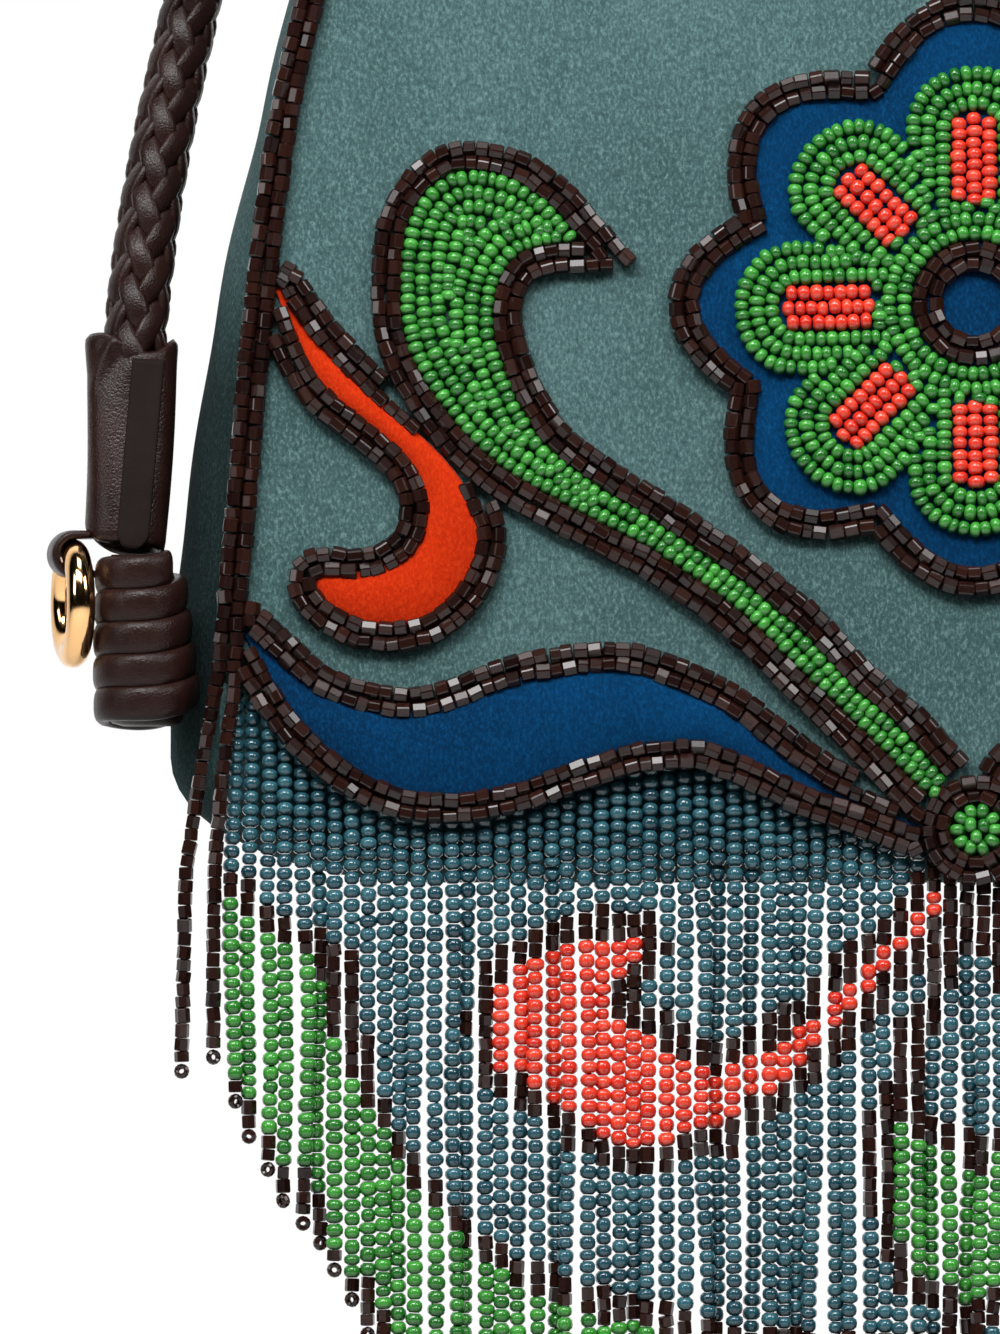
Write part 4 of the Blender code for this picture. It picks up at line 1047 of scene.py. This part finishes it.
def nearRegion(x, z, outline):
    # True inside the region, or within the brown outline's reach of it
    wide, tall = fringe["outline"]
    turns = [(share, a) for a in np.arange(0, 2 * math.pi, math.pi / 8) for share in (0.5, 1.0)]
    return np.any([inside(np.column_stack([x + wide * share * math.cos(a), z + tall * share * math.sin(a)]),
                          outline)
                   for share, a in turns], axis=0)


def strandColours(x, z, ends):
    # 0 teal, 1 brown, 2 green, 3 coral, for beads at a distance out and a height
    x = np.abs(x)
    colours = np.zeros(len(x), int)
    for code, name in ((1, "brownTop"), (2, "greenTop")):
        colours[z < np.interp(x, *(np.array(fringe[name]) / 1000).T)] = code
    for name, inner in (("palm", 2), ("coral", 3), ("stem", 1)):
        outline = np.array(fringe[name]) / 1000
        if name != "stem":
            colours[nearRegion(x, z, outline)] = 1
        colours[inside(np.column_stack([x, z]), outline)] = inner
    colours[z < ends] = 1
    return colours


def makeFringe():
    half, step, levels = (fringe["count"] - 1) / 2, fringe["seedStep"], 72
    number = np.arange(-half - fringe["loose"], half + fringe["loose"] + 1)
    n, home = len(number), number * fringe["pitch"]
    loose = np.abs(number) > half + 0.1
    top = np.where(loose, 0.0300, edgeAt(home) + 0.0012)
    share = np.abs(home) / (half * fringe["pitch"])
    sag = np.clip(1 - share ** fringe["curve"], 0, 1)
    bottom = fringe["sideEnd"] + (fringe["centreEnd"] - fringe["sideEnd"]) * sag
    bottom = bottom + rng.normal(0, 0.0006, n)
    bottom[loose] = rng.uniform(-0.0275, -0.0250, loose.sum())

    # Heights down every strand, then the strands' sideways and fore-and-aft wander at those heights
    lengths = step * np.clip(rng.normal(1.0, 0.09, (n, levels)), 0.8, 1.22)
    z = top[:, None] - np.cumsum(lengths, axis=1) + lengths / 2
    fallen = (top[:, None] - z) / 0.06
    lean, wave = rng.normal(0, 0.00045, (n, 1)), rng.normal(0, 0.00028, (n, 1))
    wave = wave * np.sin(z / rng.uniform(0.006, 0.012, (n, 1)) + rng.uniform(0, 6, (n, 1)))
    x = home[:, None] + lean * fallen + wave * np.clip(fallen * 2, 0, 1)
    layer = rng.choice([0.0, 0.0016, -0.0009], (n, 1), p=[0.66, 0.20, 0.14])
    y = layer * np.clip((top[:, None] - z) / 0.02, 0, 1) + rng.normal(0, 0.00015, (n, 1))
    for _ in range(30):
        dx, dy = x[1:] - x[:-1], y[1:] - y[:-1]
        push = np.clip(0.00212 - np.hypot(dx, dy), 0, 1) * 0.25
        for values, way in ((x, np.sign(dx)), (y, np.where(dy < 0, -1, 1))):
            values[1:] += push * way
            values[:-1] -= push * way
    outermost = np.abs(number)[:, None] > half + 1.1
    outer, inner = (np.interp(-z, *np.array(fringe[name]).T) for name in ("outerDrift", "innerDrift"))
    columns = widthAt(flap["side"], 0.030) - np.where(outermost, *rowOffsets)
    x = np.where(loose[:, None], np.sign(home)[:, None] * (columns + np.where(outermost, outer, inner)), x)

    ends = bottom + step * rng.integers(2, 6, n)
    depth = bag["faceDepth"] + np.clip(z, fringe["pivot"], None) * math.tan(bag["tilt"])
    depth = depth + np.where(loose[:, None], -0.0011, 0.0011 + y * np.where(z > 0.002, 0.35, 1.0))
    shown = z - lengths / 2 > bottom[:, None] + 0.0014
    colours = strandColours(np.repeat(home, levels), z.ravel(), np.repeat(ends, levels)).reshape(n, levels)
    colours[loose] = 1
    centres = toRow(spots(x, depth, z))
    axes = np.gradient(centres, axis=1) + rng.normal(0, 0.00011, centres.shape)
    tips = centres[np.arange(n), shown.sum(axis=1) - 1] - (0, 0, 0.00205)
    for side, hand in hands:
        mine = np.sign(home) == side
        for code, look in enumerate(("teal", "brown", "green", "coral")):
            chosen = shown & (colours == code) & mine[:, None]
            kind, wide, tall = ("cutPlain", 0.95, 1.02) if look == "brown" else ("seed", 1.04, 1.05)
            radii, spins = sizesFor(chosen.sum(), kind)
            batches = [(kind, centres[chosen], axes[chosen], radii * wide, lengths[chosen] / 2 * tall, spins)]
            if look == "brown":
                count = mine.sum()
                tipAxes = spots(rng.normal(0, 0.5, count), -1.0, rng.normal(0, 0.2, count))
                r = np.full(count, bag["bead"] / 2)
                batches.append(("ring", tips[mine], tipAxes, r, r, np.zeros(count)))
            obj = beadObject(f"fringe{look.capitalize()}_{hand}", look, batches)
            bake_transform(obj)
            first = 1 if side < 0 else 5
            nodes = ["fringe_head_" + hand] + [f"fringe_{k}" for k in range(first, first + 4)]
            nodes = nodes if look == "teal" else []
            settle(obj, None, look + "_beads", *nodes)
    print("fringe beads", int(shown.sum()))


makeFringe()

# The braided strap
braid = {
    "diameter": 0.0084,
    "columns": 8,  # of stitches round the strap
    "pitch": 0.0070,  # from stitch to stitch along a column
    "length": 0.0099,
    "width": 0.0047,
    "slant": math.radians(20),  # of the strands to the strap
    "crest": 0.00330,
    "tuck": 0.00210,  # depth of a stitch's ends, under its neighbours
    "thickness": 0.0019,
    "core": 0.0031,  # radius of the tube that fills the braid
    "route": [(0.1186, -0.0146, 0.0720), (0.1188, -0.0128, 0.0794), (0.1172, -0.0080, 0.0946),
              (0.1148, -0.0025, 0.1097), (0.1118, 0.0030, 0.1248), (0.1080, 0.0090, 0.1450),
              (0.1032, 0.0138, 0.1700), (0.0983, 0.0168, 0.1950), (0.0930, 0.0180, 0.2200),
              (0.0866, 0.0180, 0.2480), (0.0790, 0.0180, 0.2760), (0.0690, 0.0180, 0.3020),
              (0.0560, 0.0180, 0.3260), (0.0400, 0.0180, 0.3470), (0.0210, 0.0180, 0.3605)],
    "apex": (0.0, 0.0180, 0.3650),
}


def rounded(angles, power):
    # Cosine and sine, each to a power, so that a section's sides are fuller than an ellipse's
    return [np.sign(values) * np.abs(values) ** power for values in (np.cos(angles), np.sin(angles))]


def roundedSection(width, thickness, steps, power):
    c, s = rounded(fullTurn(steps), power)
    return np.column_stack([width / 2 * c, thickness / 2 * s])


def makeBraid():
    # Each stitch is a strand's crest between two tucked ends, its neighbours half a pitch off and slanting
    # back. Across it the strand is a flattened half round; along it its height is a cosine, its ends narrow
    right = np.array(braid["route"])
    line = toRow(smoothLine(np.vstack([right * (-1, 1, 1), [braid["apex"]], right[::-1]]), 0.0009))
    along, (side, up) = marksOn(line), pathFrames(line, (0, 1, 0))
    steps = np.array([-1, -0.78, -0.5, -0.2, 0.1, 0.4, 0.66, 0.86, 1])
    height = np.cos(math.pi / 2 * steps) ** 0.8
    narrowing = np.where(steps > 0, 0.75 * np.abs(steps) ** 2.2, 0.55 * np.abs(steps) ** 3)
    half = braid["width"] / 2 * (1 - narrowing)
    a = np.radians([200, 172, 140, 108, 72, 40, 8, -20])
    flat, domed = rounded(a, 0.75)[0], braid["thickness"] / 2 * rounded(a, 0.72)[1]
    lean = math.tan(braid["slant"]) * braid["length"] / braid["diameter"]
    parts = []
    for column in range(braid["columns"]):
        way = -1 if column % 2 else 1
        middles = np.arange(braid["pitch"] * (0.5 + 0.5 * (column % 2)), along[-1], braid["pitch"])
        marks = np.clip(middles[:, None] + steps * braid["length"] / 2, 0, along[-1])
        place, sideways, upways = (pointsAt(these, marks, along) for these in (line, side, up))
        fuller = 1 + 0.07 * np.clip((0.118 - place[:, :, 2:] + bag["shift"][2]) / 0.03, 0, 1)
        turn = (2 * math.pi * column / braid["columns"] + 0.16 + way * lean * steps)[None, :, None]
        radial = np.cos(turn) * sideways + np.sin(turn) * upways
        tangent = np.cos(turn) * upways - np.sin(turn) * sideways
        ahead = np.cross(sideways, upways)
        across = math.cos(braid["slant"]) * tangent - way * math.sin(braid["slant"]) * ahead
        reach = (braid["tuck"] + (braid["crest"] - braid["tuck"]) * height)[None, :, None] * fuller
        rings = ((place + reach * radial)[:, :, None]
                 + (half[:, None] * flat)[None, :, :, None] * across[:, :, None]
                 + domed[None, None, :, None] * (fuller * radial)[:, :, None])
        parts.append((rings, copyFaces(tubeFaces(len(steps), len(a)), len(middles), len(steps) * len(a))))
    core = line[::3]
    circle = braid["core"] * np.column_stack([np.cos(fullTurn(10)), np.sin(fullTurn(10))])
    parts.append((sweep(core, *pathFrames(core, (0, 1, 0)), circle), tubeFaces(len(core), 10)))
    obj = makeObject("braidedStrap", *joinParts(parts), "leather")
    turnFacesOut(obj)
    settle(obj, "pouch", "leather", "strap")


makeBraid()
print("strap made")

# Sleeves, knots, rings and bands
hardware = {
    "sleeveTop": (0.1188, -0.0130, 0.0784),
    "sleeveBottom": (0.1202, -0.0205, 0.0474),
    "sleeveWidths": (0.0115, 0.0130),
    "flatness": 0.74,
    "stripe": (0.0046, 0.0011),
    "knotPlace": (0.1168, -0.0230),
    "knotLean": 0.0011,  # outwards, from its foot to its top
    "knotBottom": 0.0226,
    "knotHeight": 0.0249,
    "knotRadii": (0.0077, 0.0063),
    "knotTurns": 4.35,
    "tape": (0.0050, 0.0026),
    "ringPlace": (0.1275, -0.0200, 0.0398),
    "ringRadius": 0.00715,
    "wire": 0.0020,
    "ringTurn": math.radians(78),
    "band": (0.0060, 0.0013),
}


def leatherPiece(name, parts, side, *nodes, look="leather", body="pouch"):
    # Shapes are made for the left; the right ones are their mirror image
    points, faces = joinParts(parts)
    obj = makeObject(name, toRow(points * (-side, 1, 1)), faces, look)
    turnFacesOut(obj)
    settle(obj, body, "gilt_brass" if look == "gold" else "leather", *nodes)


def makeSleeve(side, hand):
    top, bottom = (np.array(hardware[name]) * (-1, 1, 1) for name in ("sleeveTop", "sleeveBottom"))
    length = np.linalg.norm(top - bottom)
    axis = (top - bottom) / length
    right = unit(np.array([1.0, 0, 0]) - axis * axis[0])
    back = np.cross(axis, right)
    low, high = hardware["sleeveWidths"]
    a = fullTurn(96)
    c, s = rounded(a, 0.85)
    front = np.angle(np.exp(1j * (a + math.pi / 2)))  # turn from the front, to the right
    # Height along the sleeve and how far in from its outer face: from inside the foot, over the rim, back in
    profile = [(0.0050, 0.0021), (0.0006, 0.0016), (0.0, 0.0008), (0.0004, 0.0001)]
    profile += [(h, 0.0) for h in np.linspace(0.0016, length - 0.0016, 34)]
    profile += [(length - drop, inward) for drop, inward in
                ((0.0007, 0.0001), (0.0, 0.0006), (0.0004, 0.0012), (0.003, 0.0016), (0.009, 0.0026))]
    h, inward = np.array(profile).T[:, :, None]
    share, below = h / length, length - h
    half = (low + (high - low) * share) / 2
    fold = 0.00025 * np.sin(3 * a + 5 * share) * (0.4 + share)
    flare = 0.0005 * np.clip((share - 0.8) / 0.2, 0, None) * (0.5 - 0.5 * np.cos(a))
    crease = front + 0.3 + 0.65 * below / 0.0085
    pressed = 0.0005 * np.exp(-(crease / 0.16) ** 2) - 0.0006 * np.exp(-((crease - 0.35) / 0.2) ** 2)
    fold = fold + np.clip(1 - below / 0.011, 0, 1) * pressed
    # Its rim dips at the front and its foot is cut off at a slant
    dip = -0.0008 - 0.0030 * np.exp(-((front - 0.30) / 0.60) ** 2)
    cutCorner = 0.0029 * np.exp(-((front + 1.75) / 0.75) ** 2)
    level = (h + dip * np.clip((share - 0.62) / 0.38, 0, None) ** 1.5
             + cutCorner * np.clip((0.22 - share) / 0.22, 0, None))
    x = (half - inward + fold + flare) * c
    y = (half * hardware["flatness"] - inward + fold) * s
    rings = bottom + x[:, :, None] * right + y[:, :, None] * back + level[:, :, None] * axis
    leatherPiece("sleeve_leather_" + hand, [(rings, tubeFaces(len(rings), 96))], side, "sleeve_" + hand)

    # The painted strip down the front, rounded at its lower end
    t = np.linspace(-0.03, 0.84, 40)
    half = (low + (high - low) * t) / 2
    place = 0.23 + 0.14 * t
    depth = half * hardware["flatness"] * (1 - place**2) ** 0.42
    path = (bottom + (half * place)[:, None] * right - (depth - 0.0001)[:, None] * back
            + (t * length)[:, None] * axis)
    narrow = np.sqrt(np.clip((t + 0.035) / 0.06, 0.02, 1))
    scale = np.column_stack([narrow, 0.6 + 0.4 * narrow])[:, None]
    section = roundedSection(*hardware["stripe"], 20, 0.35) * scale
    rings = sweep(path, *pathFrames(path, -back), section)
    leatherPiece("sleeve_stripe_" + hand, [(rings, tubeFaces(len(rings), 20))], side, look="paint")


def makeKnot(side, hand):
    # A flat tape wound as a helix that narrows upwards, with its first end turned in, over a plain core
    (x0, y0), foot, rise = hardware["knotPlace"], hardware["knotBottom"], hardware["knotHeight"]
    (tall, thick), (low, high), lean = hardware["tape"], hardware["knotRadii"], hardware["knotLean"]
    t = np.linspace(-0.10, 1, 300)
    up = np.clip(t, 0, 1)
    angle = math.radians(-165) + 2 * math.pi * hardware["knotTurns"] * t
    radius = low + (high - low) * up**1.3 - thick / 2 - 0.0030 * np.clip(-t / 0.10, 0, 1) ** 1.5
    z = foot + tall / 2 + (rise - tall) * np.clip(t, -0.02, 1) + 0.0004 * np.sin(angle * 2 + 1)
    path = np.column_stack([-x0 - lean * up + radius * np.cos(angle), y0 + radius * np.sin(angle), z])
    outwards = np.column_stack([np.cos(angle), np.sin(angle), np.zeros(len(t))])
    upwards = np.tile([0.0, 0.0, 1.0], (len(t), 1))
    rings = sweep(path, upwards, outwards, roundedSection(tall, thick, 18, 0.74))
    z = np.array([-0.0002, 0.0002, 0.0010, 0.007, 0.014, 0.0205, rise - 0.0008])[:, None]
    shares = np.array([0.6, 0.85, 1, 1, 1, 1, 0.85])[:, None]
    r = np.interp(z, [z[0, 0], z[-1, 0]], [low - thick * 0.8, high - thick * 0.6]) * shares
    a, away = fullTurn(24), np.linspace(0, lean, len(z))[:, None]
    core = spots(-x0 - away + r * np.cos(a), y0 + r * np.sin(a), foot + z)
    parts = [(rings, tubeFaces(len(rings), 18)), (core, tubeFaces(len(z), 24))]
    leatherPiece("knotTape_" + hand, parts, side, "coil_knot_" + hand)


def makeRing(side, hand):
    # A round wire carried round a circle that stands upright
    x, y, z = hardware["ringPlace"]
    c, s = math.cos(hardware["ringTurn"]), math.sin(hardware["ringTurn"])
    local, faces = torus(96, 28, hardware["ringRadius"], hardware["wire"], hardware["wire"])
    points = (-x, y, z) + local @ np.array([(c, -s, 0.0), (0.0, 0.0, 1.0), (s, c, 0.0)])
    leatherPiece("ringPolished_" + hand, [(points, faces)], side, "ring_" + hand, look="gold",
                 body="ring_" + hand)


def makeBand(side, hand):
    # A flat band bent round the ring's upper limb, its ends side by side at the knot
    lean = math.pi / 2 - hardware["ringTurn"]
    inward = np.array([math.cos(lean), math.sin(lean), 0.0])
    wide = np.array([math.sin(lean), -math.cos(lean), 0.0])
    middle, reach = hardware["wire"] + 0.00015 + hardware["band"][1] / 2, 0.0027
    turn = np.linspace(math.pi / 2, 3 * math.pi / 2, 25)
    local = np.vstack([(reach, middle), (reach * 0.5, middle),
                       np.column_stack([middle * np.cos(turn), middle * np.sin(turn)]),
                       (reach * 0.5, -middle), (reach, -middle)])
    x, y, z = hardware["ringPlace"]
    centre = np.array([-x, y, z + hardware["ringRadius"] - 0.0002])
    path = centre + local[:, :1] * inward + local[:, 1:] * (0, 0, 1.0)
    upward = np.cross(unit(np.gradient(path, axis=0)), wide)
    rings = sweep(path, np.tile(wide, (len(path), 1)), upward, roundedSection(*hardware["band"], 16, 0.55))
    leatherPiece("ringBand_" + hand, [(rings, tubeFaces(len(rings), 16))], side, "ring_loop_" + hand)


for side, hand in hands:
    for make in (makeSleeve, makeKnot, makeRing, makeBand):
        make(side, hand)
print("hardware made")

# What still shows of the frame
for name, look in (("lining", "lining"), ("snap_base", "nickel"), ("snap_cap", "nickel"),
                   ("side_tab_left", "leather"), ("side_tab_right", "leather")):
    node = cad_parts[name]
    node.data.materials.clear()
    node.data.materials.append(looks[look])
